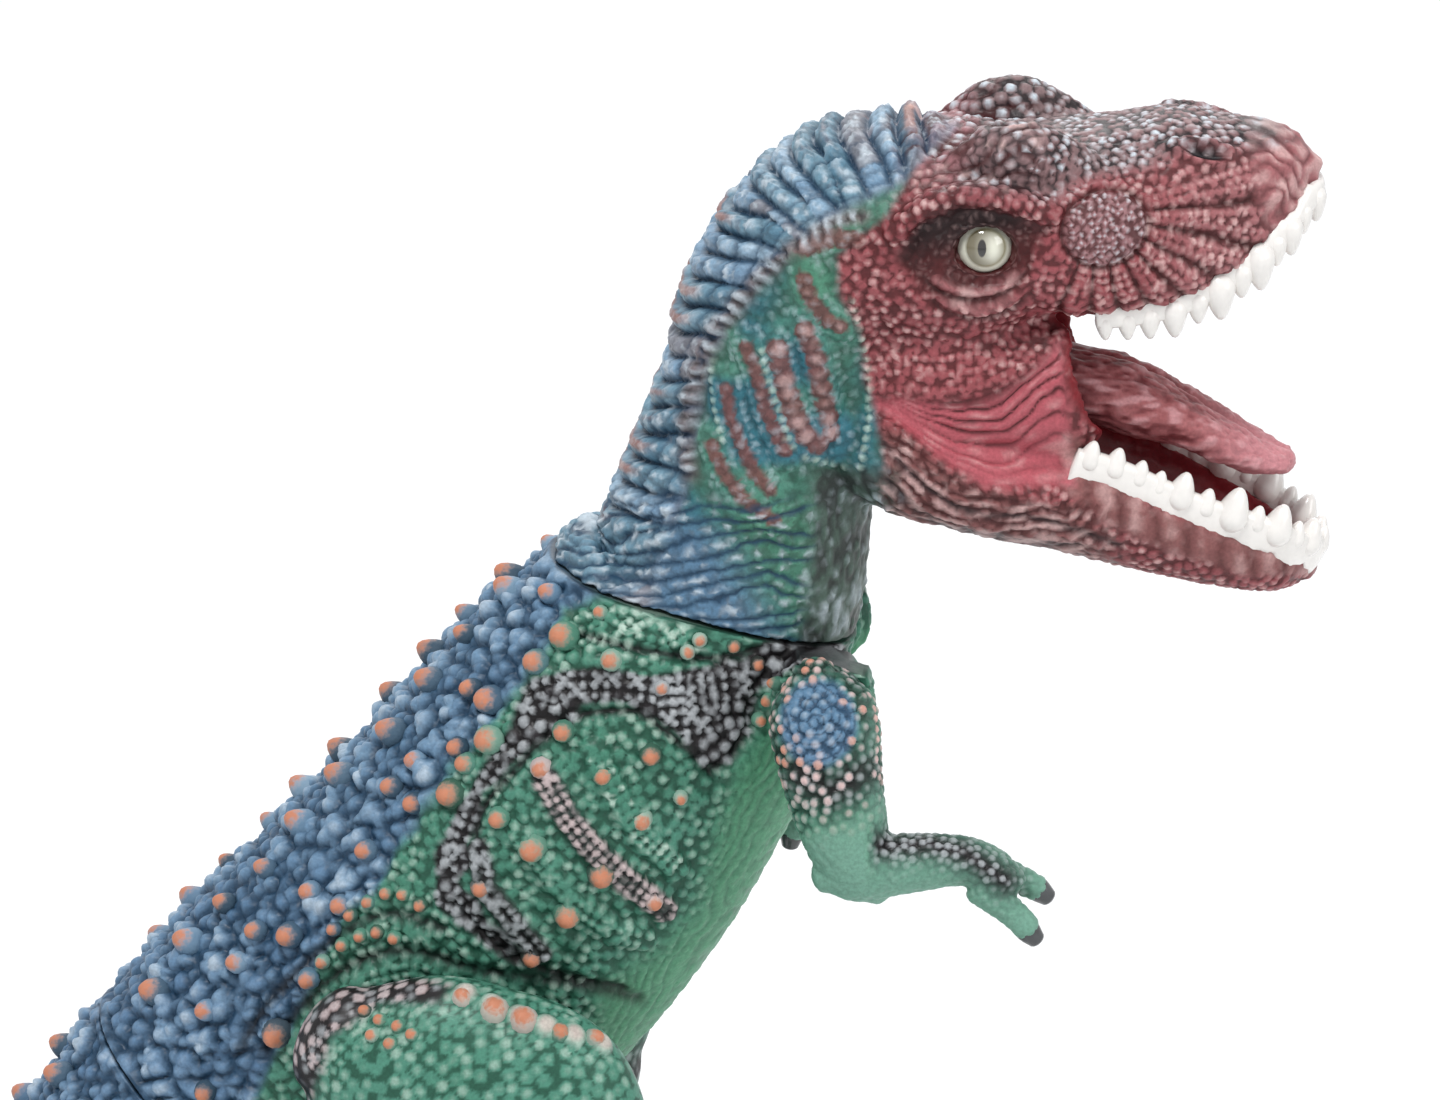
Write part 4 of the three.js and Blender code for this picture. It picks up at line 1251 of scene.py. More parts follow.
# Noise on the head: its strength, the width of its lumps in mm, its seed and how it is stretched.
headNoise = {
    "spacing": (0.18, 5, 3),
    "fan": (1.6, 9, 9),
    "creaseWide": (24, 6, 48),
    "creaseFine": (8, 2.5, 49),
    "wrinkle": (26, 7, 15),
    "ridge": (3.5, 9, 21),
    "knob": (4, 4, 22),
    "sagWide": (12, 6, 31, (0.5, 0.5, 1)),
    "sagFine": (4, 2.5, 32),
    "tatterWide": (0.35, 3.4, 33, (1, 1, 0.55)),
    "tatterFine": (0.35, 1.3, 34, (1, 1, 0.55)),
    "rope": (5, 3, 35),
    "jaw": (9, 6, 43),
    "foldWide": (0.07, 8, 45),
    "foldFine": (0.03, 3, 46),
    "lip": (5, 6, 47),
    "mouth": (0.5, 3, 51),
    "skin": (0.16, 1.2, 53),
    "patchy": (0.5, 9, 61),
    "fleck": (0.5, 2.4, 63),
    "rub": (0.5, 1.3, 64),
}
# Regions on the photo: how soft the edge is in pixels, and the corners.
headRegions = {
    "neck": (12, [
        (1000, 60), (960, 120), (915, 165), (885, 215), (836, 255), (838, 296), (860, 334), (864, 383),
        (874, 404), (884, 465), (872, 560), (865, 700), (400, 700), (500, 420), (600, 200), (760, 60),
    ]),
    "crest": (16, [
        (985, 60), (960, 140), (905, 180), (850, 205), (790, 250), (735, 305), (700, 380), (690, 470),
        (660, 560), (640, 660), (400, 660), (500, 420), (600, 200), (760, 60),
    ]),
    "mauve": (50, [(1060, 60), (1040, 190), (960, 200), (905, 175), (872, 130), (890, 60)]),
    "front": (24, [(812, 470), (900, 470), (890, 640), (800, 660), (806, 600), (815, 540)]),
    "neckGreen": (40, [(900, 190), (870, 320), (800, 300), (790, 235)]),
    "snoutTop": (26, [
        (1040, 40), (1262, 60), (1284, 140), (1262, 150), (1235, 146), (1190, 148), (1150, 166),
        (1085, 180), (1055, 200), (1020, 195), (960, 180), (975, 130),
    ]),
    "nose": (24, [(1250, 120), (1360, 110), (1360, 260), (1285, 260), (1262, 200)]),
    "orbit": (18, [
        (896, 262), (918, 224), (958, 206), (1008, 212), (1047, 228), (1030, 268), (1000, 300),
        (960, 306), (925, 296),
    ]),
    "membrane": (12, [
        (872, 402), (905, 398), (936, 404), (983, 398), (1022, 380), (1062, 338), (1075, 486),
        (985, 486), (946, 462), (905, 428),
    ]),
}
# Creases and rims on the photo: their width in pixels, and their lines.
headLines = {
    "brow": (11, [[(893, 238), (918, 211), (958, 196), (1010, 203), (1050, 220)]]),
    "lids": (5.5, [
        [(936, 283), (955, 292), (980, 295), (1003, 288), (1020, 270)],
        [(944, 301), (977, 312), (1012, 300)],
        [(928, 262), (940, 240), (960, 228)],
        [(914, 262), (926, 236), (948, 220)],
    ]),
    "grooves": (3.6, [
        [(926, 284), (944, 297), (968, 303), (994, 300), (1016, 288), (1028, 270)],
        [(934, 305), (958, 317), (984, 320), (1012, 311), (1030, 294)],
    ]),
    "jawCrease": (4, [
        [(880, 440), (925, 487), (975, 515), (1040, 520), (1120, 548)],
        [(876, 470), (930, 520), (1000, 540), (1080, 548)],
    ]),
}
patchField = {"center": (1105, 228), "radii": (43, 36), "turn": -24}
patchRing = {"radii": (50.02, 45.14), "beads": 32}
nostrilField = {"center": (1206, 153), "radii": (20, 5.5), "turn": 12}
# The folds that fan out from the patch to the lip, in degrees and photo pixels round the center.
fanSettings = {
    "center": (1100, 215),
    "turns": (-14, 118),
    "asides": (-4, 3),
    "beads": (50, 168, 8),
    "start": (44, 56),
    "end": (180, 220),
    "top": (-26, -14),
    "back": (112, 126),
}
membraneTop = [(905, 396), (937, 402), (975, 402), (1004, 389), (1026, 371), (1045, 349), (1062, 326)]
membraneBottom = [(889, 405), (905, 428), (946, 462), (985, 482), (1020, 489), (1062, 492)]
jawRidge = [(868, 412), (905, 430), (946, 468), (985, 490), (1062, 500)]
lowerLipLine = [(1068, 452), (1078, 480), (1120, 510), (1170, 534), (1250, 560), (1315, 556)]
crestLine = [
    (975, 128), (890, 126), (820, 140), (780, 160), (742, 190), (716, 230), (698, 272), (684, 312),
    (670, 350), (660, 390), (650, 430), (628, 470), (600, 508),
]
ropeLine = [
    (862, 218), (841, 220), (803, 242), (765, 273), (739, 303), (716, 334), (704, 364), (693, 402),
    (689, 440), (691, 474),
]
# Rows of beads on the neck: the line, the beads' spacing in photo pixels and their radius.
neckBeads = [
    {"line": [(727, 383), (731, 413), (742, 444), (754, 470), (773, 493)], "step": 11, "radius": 1.4},
    {"line": [(746, 341), (758, 375), (767, 410), (777, 432), (788, 455)], "step": 12, "radius": 1.5},
    {
        "line": [(777, 341), (782, 368), (788, 391), (796, 417), (807, 436), (826, 447)],
        "step": 15,
        "radius": 2.1,
    },
    {"line": [(803, 322), (815, 353), (820, 383), (826, 410), (832, 436)], "step": 15, "radius": 2.0},
    {"line": [(803, 273), (811, 296), (826, 318), (845, 326)], "step": 12, "radius": 1.6},
    {"line": [(712, 440), (724, 470), (745, 500), (775, 520)], "step": 12, "radius": 1.5},
    {"line": [(800, 250), (830, 238), (858, 240)], "step": 13, "radius": 1.8},
]
neckBeadShape = {"spread": 1.25, "height": 0.75, "power": 0.8, "ridgeWidth": 17}
paleBeads = {
    "step": 10,
    "radius": 1.2,
    "height": 0.9,
    "lines": [
        [(850, 296), (862, 335), (869, 380), (869, 420), (860, 470)],
        [(762, 345), (768, 375), (776, 400), (786, 430), (796, 452)],
        [(716, 345), (712, 375), (716, 410), (724, 440)],
        [(800, 455), (830, 462), (850, 470)],
    ],
}
# Rows that the scales stand in: the lines, the scales' spacing and the rows' distances from a line.
scaleRows = [
    *(
        {"line": line, "step": 9.5, "offsets": (0,)}
        for line in (
            [(1040, 176), (1090, 158), (1127, 146), (1178, 130), (1215, 124)],
            [(1030, 188), (1075, 172), (1110, 160), (1150, 150), (1178, 144)],
            [(1050, 196), (1085, 180), (1125, 172), (1160, 166)],
            [(1010, 178), (1050, 160), (1095, 143), (1150, 128), (1200, 113)],
        )
    ),
    *(
        {"line": line, "step": 9, "offsets": (0,)}
        for line in (
            [(868, 392), (900, 388), (940, 392), (985, 386), (1020, 366), (1040, 345)],
            [(866, 376), (900, 372), (940, 376), (980, 370), (1010, 352)],
            [(866, 360), (905, 357), (945, 360), (980, 352)],
        )
    ),
    *({"line": row["line"], "step": 9, "offsets": (-13, 12)} for row in neckBeads),
]
headRowScales = {"clear": 1.2, "size": 1.55}
# The scales' spacing in each zone, in the order in which they cover each other.
cheekSpacing = 1.7
headSpacings = {
    "inPatch": 1.05,
    "orbit": 1.2,
    "snoutTop": 1.7,
    "nose": 4.5,
    "flank": 1.7,
    "crest": 4.0,
    "front": 2.4,
    "mauve": 1.9,
    "knoll": 2.3,
}
# By what share the scales are shallower in each zone.
headSoftness = {
    "membrane": 0.93,
    "inside": 0.8,
    "lip": 0.85,
    "jaw": 0.6,
    "flank": 0.55,
    "crest": 0.6,
    "bareMauve": 0.5,
    "front": 0.7,
    "nose": 0.9,
}
# Where forms and paint fade in: photo pixels, or millimetres for those marked so.
headFades = {
    "side": (3, 8),  # mm from the middle plane
    "mouthSkin": (0.8, 2.0),  # mm from what is carved out
    "mauveFoot": (165, 215),
    "patchEdge": (0.92, 1.05),
    "lipEdge": (12, 24),
    "jawEdge": (-4, 10),
    "jawTop": (420, 440),
    "jawEnd": (1060, 1150),
    "knollTop": (317, 322),  # mm
    "knollEnd": (1040, 1070),
    "knollSide": (14, 19),  # mm
    "fanTop": (280, 286),  # mm
    "crestEdge": (60, 105),
    "crestStart": (0, 50),
    "crestSlope": (8, 60),
    "knobStart": (4, 16),
    "pleatTop": (488, 512),
    "pleatFoot": (655, 680),
    "crispStart": (895, 960),
    "snoutRed": (1120, 1220),
    "footGreen": (480, 520),
    "footGreenStart": (700, 760),
    "footBlue": (500, 540),
    "footBlueEnd": (720, 800),
    "crestMauve": (20, 90),
    "crestTips": (5, 22),
    "lidDark": (262, 285),
    "browShade": (222, 256),
    "lidRed": (266, 284),
    "lidBlush": (268, 290),
}
headEdges = {
    "mouthX": 146,  # mm
    "mouthLowZ": 225,  # mm
    "mouthHighZ": 300,  # mm
    "mouthReach": 4.0,  # mm
    "lipStart": 1060,
    "jawStart": 860,
    "jawFront": 1180,
    "jawLineStart": 868,
    "neckAxis": 720,
    "snoutFoot": 350,
    "footBlueHeight": 600,
    "browShadeMiddle": 985,
}


# How far each point is from the surface of the parts, in mm.
def nearest(parts, points, furthest):
    partPoints, faces = joined(parts)
    tree = BVHTree.FromPolygons(partPoints.tolist(), faces)
    distances = np.full(len(points), furthest)
    for i, point in enumerate(points):
        hit = tree.find_nearest(point, furthest)
        if hit[0]:
            distances[i] = hit[3]
    return distances


# Photo places on both sides of the fan's folds, from the patch to the lip, and round the patch.
def fanPlaces():
    (x, y), (start, end) = fanSettings["center"], fanSettings["turns"]
    places = []
    for turn in np.arange(start, end, headPeriods["fan"]):
        for aside in fanSettings["asides"]:
            a = math.radians(turn + aside)
            for reach in np.arange(*fanSettings["beads"]):
                places.append((x + reach * math.cos(a), y + reach * math.sin(a)))
    return places


def patchPlaces():
    (x, y), (wide, high) = patchField["center"], patchRing["radii"]
    turns = np.linspace(0, 2 * math.pi, patchRing["beads"], endpoint=False)
    return [(x + wide * math.cos(a), y + high * math.sin(a)) for a in turns]


def regionMasks(photo, regions):
    return {name: polygonMask(photo, corners, soft) for name, (soft, corners) in regions.items()}


# The head's zones, each a mask from 0 to 1, with the noise that its patterns share.
def headZones(skin):
    photo, fades, edges = skin.photo, headFades, headEdges
    px, py = photo
    x, y, z = skin.points.T
    zone = SimpleNamespace(**regionMasks(photo, headRegions), shake=noises(skin.points, headNoise))
    near = (x > edges["mouthX"]) & (z < edges["mouthHighZ"]) & (z > edges["mouthLowZ"])
    fromMouth = np.full(skin.count, edges["mouthReach"])
    fromMouth[near] = nearest(mouthParts(), skin.points[near], edges["mouthReach"])
    zone.inside = 1 - ramp(fromMouth, *fades["mouthSkin"])
    zone.side = ramp(np.abs(y), *fades["side"])
    zone.crest *= zone.neck
    zone.flank = zone.neck * (1 - zone.crest)
    zone.mauve *= 1 - ramp(py, *fades["mauveFoot"])
    zone.snoutTop *= 1 - zone.neck
    zone.membrane *= 1 - zone.inside
    zone.orbit *= zone.side
    zone.patch = ellipseField(photo, **patchField)
    zone.nostril = ellipseField(photo, **nostrilField)
    zone.inPatch = (1 - ramp(zone.patch, *fades["patchEdge"])) * zone.side
    lipEdge = 1 - ramp(lineField(photo, lowerLipLine)[0], *fades["lipEdge"])
    zone.lip = lipEdge * (1 - zone.inside) * (px > edges["lipStart"])
    zone.jawAway, zone.jawAlong, jawSide = lineField(photo, jawRidge)
    zone.jawDrop = zone.jawAway * jawSide
    zone.jaw = ramp(zone.jawDrop, *fades["jawEdge"]) * (px > edges["jawStart"]) * (px < edges["jawFront"])
    zone.jaw *= ramp(py, *fades["jawTop"]) * (1 - zone.neck) * (1 - zone.inside)
    zone.jaw *= 1 - ramp(px, *fades["jawEnd"])
    zone.knoll = ramp(z, *fades["knollTop"]) * (1 - zone.neck) * (1 - ramp(px, *fades["knollEnd"]))
    zone.knoll *= 1 - ramp(np.abs(y), *fades["knollSide"])
    zone.bareMauve = zone.mauve * (1 - zone.knoll)
    for name, (width, lines) in headLines.items():
        setattr(zone, name, lineMask(photo, lines, width) * (1 if name == "jawCrease" else zone.side))
    zone.jawCrease *= (1 - zone.inside) * (1 - zone.neck)
    zone.patchy = 0.5 + zone.shake.patchy
    zone.fleck = 0.5 + zone.shake.fleck
    return zone


def headScales(skin, zone):
    changes = [(getattr(zone, name), size) for name, size in headSpacings.items()]
    spacing = blended(skin, cheekSpacing, changes) * (1 + zone.shake.spacing)
    places = fanPlaces() + beadRowPlaces(scaleRows) + patchPlaces()
    rowSeeds = onBothSides(onSurface(skin, places))
    facet, bead, zone.chance = scalesWithRows(skin, spacing, rowSeeds, headRowScales, (5, 7))
    isBead = np.clip(1 - zone.crest - zone.nose - zone.bareMauve - zone.front, 0, 1)
    zone.scale = bead * isBead + facet * (1 - isBead)
    depth = headSettings["scaleDepth"] * np.clip(spacing, 1, 3) * (0.5 + 0.9 * zone.chance)
    for name, share in headSoftness.items():
        depth *= 1 - share * getattr(zone, name)
    return depth * (zone.scale - 1) * (1 - 0.9 * bell(zone.nostril, 0.9, 0.9) * zone.side)


# Folds fan out from the patch behind the nostril to the lip.
def lipFan(skin, zone):
    dx, dy = (place - middle for place, middle in zip(skin.photo, fanSettings["center"]))
    angle, reach = np.degrees(np.arctan2(dy, dx)), np.hypot(dx, dy)
    fan = ramp(reach, *fanSettings["start"]) * (1 - ramp(reach, *fanSettings["end"]))
    fan *= ramp(angle, *fanSettings["top"]) * (1 - ramp(angle, *fanSettings["back"]))
    fan *= (1 - zone.inside) * (1 - zone.neck) * (1 - zone.nose) * zone.side
    zone.fan = fan * ramp(skin.points[:, 2], *headFades["fanTop"])
    turned = angle - fanSettings["turns"][0] + headPeriods["fan"] / 2 + zone.shake.fan
    zone.fold = stripes(turned, headPeriods["fan"])
    return headSettings["fanHeight"] * (zone.fold**0.6 - 0.75) * zone.fan


# The brow overhangs the eye's hollow, which has folds round the eye.
def eyeHollow(skin, zone):
    hollow = headSettings["orbitDepth"] * zone.orbit * (1 - 0.4 * zone.brow)
    lids = headSettings["lidHeight"] * zone.lids - headSettings["lidGrooveDepth"] * zone.grooves
    return headSettings["browHeight"] * zone.brow - hollow + lids


# The patch, the nostril and the creases of the nose and of the back of the head.
def snoutForms(skin, zone):
    (px, py), sizes, shake = skin.photo, headSettings, zone.shake
    slant = py - 0.5 * px + shake.creaseWide + shake.creaseFine
    zone.creases = stripes(slant, headPeriods["noseCrease"])
    zone.wrinkle = stripes(0.4 * px + py + shake.wrinkle, headPeriods["wrinkle"])
    patchGroove = sizes["patchGrooveDepth"] * bell(zone.patch, 1.04, 0.07)
    rim = sizes["patchRimHeight"] * bell(zone.patch, 1.24, 0.12) - patchGroove
    over = py < nostrilField["center"][1]
    hood = (sizes["nostrilRimHeight"] + sizes["nostrilHoodHeight"] * over) * bell(zone.nostril, 1.7, 0.5)
    hole = sizes["nostrilDepth"] * (1 - ramp(zone.nostril, 0.4, 1.3))
    height = sizes["noseCreaseHeight"] * (zone.creases - 0.6) * zone.nose
    height += sizes["patchHeight"] * zone.inPatch + (rim + hood - hole) * zone.side
    return height + sizes["wrinkleHeight"] * (zone.wrinkle - 0.6) * zone.mauve


# The crest's ridges, each with knobs of its own, and a groove between two ridges.
def crestForms(skin, zone):
    away, zone.crestAlong, _ = lineField(skin.photo, crestLine)
    zone.crestAway = away
    shifted = zone.crestAlong + zone.shake.ridge + 0.25 * away
    zone.ridges = stripes(shifted, headPeriods["crest"])
    ridge = np.floor(shifted / headPeriods["crest"]).astype(int)
    none = np.zeros(skin.count, int)
    zone.ridgeChance = hashed(ridge, none, none, 5)
    outward = away + 16 * zone.ridgeChance + zone.shake.knob
    zone.knobs = stripes(outward, headPeriods["knob"])
    zone.knobChance = hashed(ridge, np.floor(outward / headPeriods["knob"]).astype(int), none, 6)
    zone.crestFade = zone.crest * (1 - ramp(away, *headFades["crestEdge"]))
    zone.crestFade *= ramp(zone.crestAlong, *headFades["crestStart"])
    tall = headSettings["crestHeight"] * (1 - 0.6 * ramp(away, *headFades["crestSlope"]))
    tall *= 0.7 + 0.6 * zone.ridgeChance
    height = tall * (zone.ridges**0.42 - 0.55) * zone.crestFade * skin.hold
    knobs = headSettings["knobHeight"] * (1 + zone.knobChance) * (zone.knobs**0.5 - 0.65)
    height += knobs * zone.crest * ramp(away, *headFades["knobStart"])
    ridgelets = stripes(shifted + 0.6 * away, headPeriods["crest"] / 4)
    return height + headSettings["ridgeletHeight"] * (ridgelets - 0.6) * zone.crest


# Folds round the foot of the neck, and ragged ones down its front.
def neckForms(skin, zone):
    (px, py), fades, shake = skin.photo, headFades, zone.shake
    zone.pleats = ramp(py, *fades["pleatTop"]) * (1 - ramp(py, *fades["pleatFoot"]))
    zone.pleats *= zone.neck * (1 - zone.front)
    sag = py + 0.1 * (px - headEdges["neckAxis"]) + shake.sagWide + shake.sagFine
    zone.pleat = stripes(sag, headPeriods["pleat"])
    zone.tatter = 0.5 + shake.tatterWide + shake.tatterFine
    folds = headSettings["pleatHeight"] * (zone.pleat**0.7 - 0.6) * zone.pleats
    return (folds + headSettings["tatterHeight"] * (zone.tatter - 0.5) * zone.front) * skin.hold


# The stretched cheek is smooth, with folds that flow to the corner of the mouth.
def cheekForms(skin, zone):
    (px, py), shake = skin.photo, zone.shake
    top, bottom = (np.interp(px, *smoothRows(line, 5).T) for line in (membraneTop, membraneBottom))
    zone.drop = (py - top) / np.maximum(bottom - top, 4)
    slack = zone.drop + shake.foldWide + shake.foldFine
    zone.folds = stripes(slack, headPeriods["membrane"]) ** 0.7
    zone.crisp = (1 - ramp(zone.drop, 0.35, 0.95)) * ramp(px, *headFades["crispStart"])
    fold = headSettings["membraneFoldHeight"] + headSettings["membraneCrispHeight"] * zone.crisp
    return (fold * (zone.folds - 0.6) - headSettings["membraneDepth"]) * zone.membrane


def jawForms(skin, zone):
    px, sizes = skin.photo[0], headSettings
    line = bell(zone.jawAway, 0, 9) * (1 - zone.inside) * (px > headEdges["jawLineStart"])
    zone.strands = stripes(zone.jawDrop + 0.1 * zone.jawAlong + zone.shake.jaw, headPeriods["jaw"])
    zone.lipLumps = stripes(px + zone.shake.lip, headPeriods["lip"])
    height = sizes["jawLineHeight"] * line + sizes["jawStrandHeight"] * (zone.strands - 0.55) * zone.jaw
    height -= sizes["jawCreaseDepth"] * zone.jawCrease
    height += sizes["lipLumpHeight"] * (zone.lipLumps**0.6 - 0.7) * zone.lip
    return height + zone.shake.mouth * np.maximum(zone.inside, zone.nose)


# The rope that parts the crest from the neck's side, and the low ridges under the neck's beads.
def ropeForms(skin, zone):
    away, along, _ = lineField(skin.photo, smoothRows(ropeLine, 12))
    zone.rope = bell(away, 0, 8) * zone.neck
    zone.ropeLumps = stripes(along + zone.shake.rope, headPeriods["rope"])
    lines = [row["line"] for row in neckBeads]
    zone.ridge = lineMask(skin.photo, lines, neckBeadShape["ridgeWidth"]) * zone.flank
    rope = headSettings["ropeHeight"] + headSettings["ropeLumpHeight"] * zone.ropeLumps
    ridges = headSettings["beadRidgeHeight"] * (ramp(zone.ridge, 0.1, 0.7) - 0.3) * zone.flank
    return rope * zone.rope + ridges


def neckBeadRelief(skin, zone):
    zone.beads, zone.paleBeads = np.zeros(skin.count), np.zeros(skin.count)
    power = neckBeadShape["power"]
    for line in paleBeads["lines"]:
        for place in onBothSides(onSurface(skin, alongLine(line, paleBeads["step"]))):
            bump(skin, place, paleBeads["radius"], paleBeads["height"], zone.paleBeads, power)
    for row in neckBeads:
        spread, height = row["radius"] * neckBeadShape["spread"], row["radius"] * neckBeadShape["height"]
        for place in onBothSides(onSurface(skin, alongLine(row["line"], row["step"]))):
            bump(skin, place, spread, height, zone.beads, power)
    return np.maximum(zone.beads, zone.paleBeads)


# The colours of the zones, and the paint in their grooves, whose dark is also painted shade.
def headUndercoats(skin, zone):
    (px, py), fades, edges = skin.photo, headFades, headEdges
    patchy, fleck, crest, flank, neck = zone.patchy, zone.fleck, zone.crest, zone.flank, zone.neck
    footFade = ramp(py, *fades["footGreen"]) * ramp(px, *fades["footGreenStart"])
    footSlant = ramp(px + 0.6 * (edges["footBlueHeight"] - py), *fades["footBlueEnd"])
    patches = 0.5 * zone.ridgeChance + 0.5 * zone.knobChance
    snoutRed = ramp(px, *fades["snoutRed"]) * (1 - zone.snoutTop) * (py < edges["snoutFoot"])
    return [
        ("maroon", 0.4 * patchy),
        ("snoutRed", snoutRed * 0.7),
        ("mauve", zone.mauve * 0.85),
        ("ash", zone.snoutTop * (0.6 + 0.3 * patchy)),
        ("patchTone", zone.inPatch * 0.6),
        ("jawBrown", np.maximum(zone.jaw, zone.lip) * 0.75),
        ("teal", flank),
        ("neckGreen", flank * zone.neckGreen),
        ("neckGreen", flank * ramp(patchy, 0.35, 0.75) * 0.8),
        ("neckGreen", neck * footFade * 0.9),
        ("backBlue", neck * ramp(py, *fades["footBlue"]) * (1 - footSlant)),
        ("neckBlue", crest),
        ("backBlue", crest * ramp(zone.knobChance, 0.4, 0.8) * 0.6),
        ("teal", crest * ramp(zone.ridgeChance, 0.72, 0.74) * 0.5),
        ("ash", crest * (1 - ramp(patches, 0.26, 0.34)) * 0.7),
        ("mauve", crest * (1 - ramp(zone.crestAlong, *fades["crestMauve"])) * 0.8),
        ("frontGreen", zone.front * 0.9),
        ("membrane", zone.membrane),
        ("deepGreen", flank * bell(zone.ridge, 0.12, 0.1) * 0.6),
        ("darkBead", ramp(zone.beads, 0.1, 0.5) * 0.9),
        ("bead", ramp(zone.paleBeads, 0.3, 0.9) * (0.3 + 0.5 * fleck)),
        ("ash", zone.rope * 0.85),
        ("charcoal", zone.rope * (1 - ramp(zone.ropeLumps, 0.2, 0.6)) * 0.8),
        ("mouthRed", zone.inside),
    ]


# Darker paint in the grooves between the scales, in the folds, creases, nostril and patch's groove, and in
# the eye's hollow: dark wash that is also painted shade, with a painted shadow under the brow. The lower
# lids get lighter red and pale paint as painted highlights, and the nose's ridges and the lip's lumps get
# pale dry brushing that is also painted highlight.
def headGrooves(skin, zone):
    (px, py), fades = skin.photo, headFades
    fleck, crest, nose, orbit, lids = zone.fleck, zone.crest, zone.nose, zone.orbit, zone.lids
    low = 1 - ramp(zone.scale, 0.05, 0.6)
    browShade = py + 0.25 * (px - headEdges["browShadeMiddle"])
    return [
        ("maroon", low * zone.flat * (1 - zone.neck) * (0.78 - 0.74 * nose)),
        ("charcoal", low * (0.35 * crest + 0.9 * zone.snoutTop + 0.35 * zone.flank)),
        ("maroon", (1 - ramp(zone.fold, 0.15, 0.6)) * zone.fan * 0.9),
        ("maroon", orbit * (0.9 - 0.65 * lids * ramp(py, *fades["lidDark"]))),
        ("black", orbit * (1 - ramp(browShade, *fades["browShade"])) * 0.75),
        ("snoutRed", lids * ramp(py, *fades["lidRed"]) * 0.55),
        ("maroon", zone.grooves * 0.85),
        ("blush", lids * orbit * ramp(py, *fades["lidBlush"]) * ramp(fleck, 0.4, 0.7) * 0.6),
        ("maroon", bell(zone.patch, 1.05, 0.07) * zone.side * 0.9),
        ("maroon", (1 - ramp(zone.creases, 0.1, 0.5)) * nose * 0.6),
        ("blush", ramp(zone.creases * (0.5 + fleck), 0.7, 1.1) * nose * 0.5),
        ("charcoal", (1 - ramp(zone.nostril, 0.7, 1.3)) * zone.side),
        ("maroon", (1 - ramp(zone.wrinkle, 0.15, 0.6)) * zone.mauve * 0.8),
        ("deepBlue", (1 - ramp(zone.ridges, 0.15, 0.6)) * zone.crestFade * 0.9),
        ("deepBlue", (1 - ramp(zone.pleat, 0.2, 0.65)) * zone.pleats * 0.9),
        ("charcoal", (1 - ramp(zone.tatter, 0.3, 0.55)) * zone.front * 0.7),
        ("maroon", (1 - ramp(zone.folds, 0.15, 0.75)) * zone.membrane * (0.2 + 0.75 * zone.crisp)),
        ("maroon", (1 - ramp(zone.drop, 0, 0.16)) * zone.membrane * 0.8),
        ("maroon", (1 - ramp(zone.strands, 0.2, 0.6)) * zone.jaw * 0.75),
        ("charcoal", zone.jawCrease * 0.7),
        ("maroon", zone.lip * (1 - ramp(zone.lipLumps, 0.2, 0.7)) * 0.5),
        ("blush", zone.lip * ramp(zone.lipLumps * (0.5 + fleck), 0.75, 1.2) * 0.35),
    ]


# The pale dry brushing on what stands highest, which is also painted highlight, with painted shade between
# the crest's knobs.
def headDryBrushAndHighlights(zone):
    fleck, crest, patchy, rub = zone.fleck, zone.crest, zone.patchy, 0.5 + zone.shake.rub
    wearAndSheen = ramp(zone.scale * (0.6 + 0.4 * zone.chance) + 0.35 * (fleck - 0.5), 0.58, 0.95)
    dryBrushAndSheen = zone.flat * (1 - 0.75 * zone.orbit) * (1 - zone.neck) * (1 - 0.5 * zone.jaw)
    dryBrushAndSheen *= (0.45 + 0.55 * patchy) * (0.75 - 0.2 * zone.fan * (zone.fold < 0.5))
    knobTops = zone.ridges**0.5 * zone.knobs**0.4 * (0.5 + rub)
    crestTips = (1 - ramp(zone.crestAway, *headFades["crestTips"])) * zone.crestFade
    neck = zone.neck * (1 - zone.rope) * (1 - zone.pleats)
    return [
        ("blush", wearAndSheen * dryBrushAndSheen),
        ("pale", wearAndSheen * zone.snoutTop * ramp(patchy + 0.4 * zone.chance, 0.25, 0.6) * 0.95),
        ("pale", wearAndSheen * zone.knoll * 0.85),
        ("pale", wearAndSheen * zone.inPatch * 0.6),
        ("pale", wearAndSheen * neck * (0.3 + 0.1 * crest)),
        ("blush", ramp(zone.wrinkle * fleck, 0.45, 0.8) * zone.bareMauve * 0.7),
        ("pale", ramp(knobTops, 0.85, 1.2) * crest * 0.7),
        ("deepBlue", (1 - ramp(zone.knobs, 0.1, 0.4)) * crest * 0.5),
        ("pale", ramp(zone.pleat * (0.5 + rub), 0.95, 1.3) * zone.pleats * 0.7),
        ("pale", ramp(zone.tatter, 0.6, 0.9) * zone.front * 0.5),
        ("blush", ramp(zone.strands * (0.5 + fleck), 0.8, 1.15) * zone.jaw * 0.5),
        ("blush", ramp(zone.folds * (0.6 + 0.5 * fleck), 0.75, 1.0) * zone.membrane * 0.3),
        ("orange", crestTips * ramp(zone.ridges * zone.ridgeChance, 0.72, 0.9) * 0.45),
        ("blush", ramp(zone.beads + fleck, 1.6, 2.2) * 0.4),
        ("pale", zone.rope * ramp(zone.ropeLumps * (0.5 + fleck), 0.8, 1.1) * 0.6),
    ]


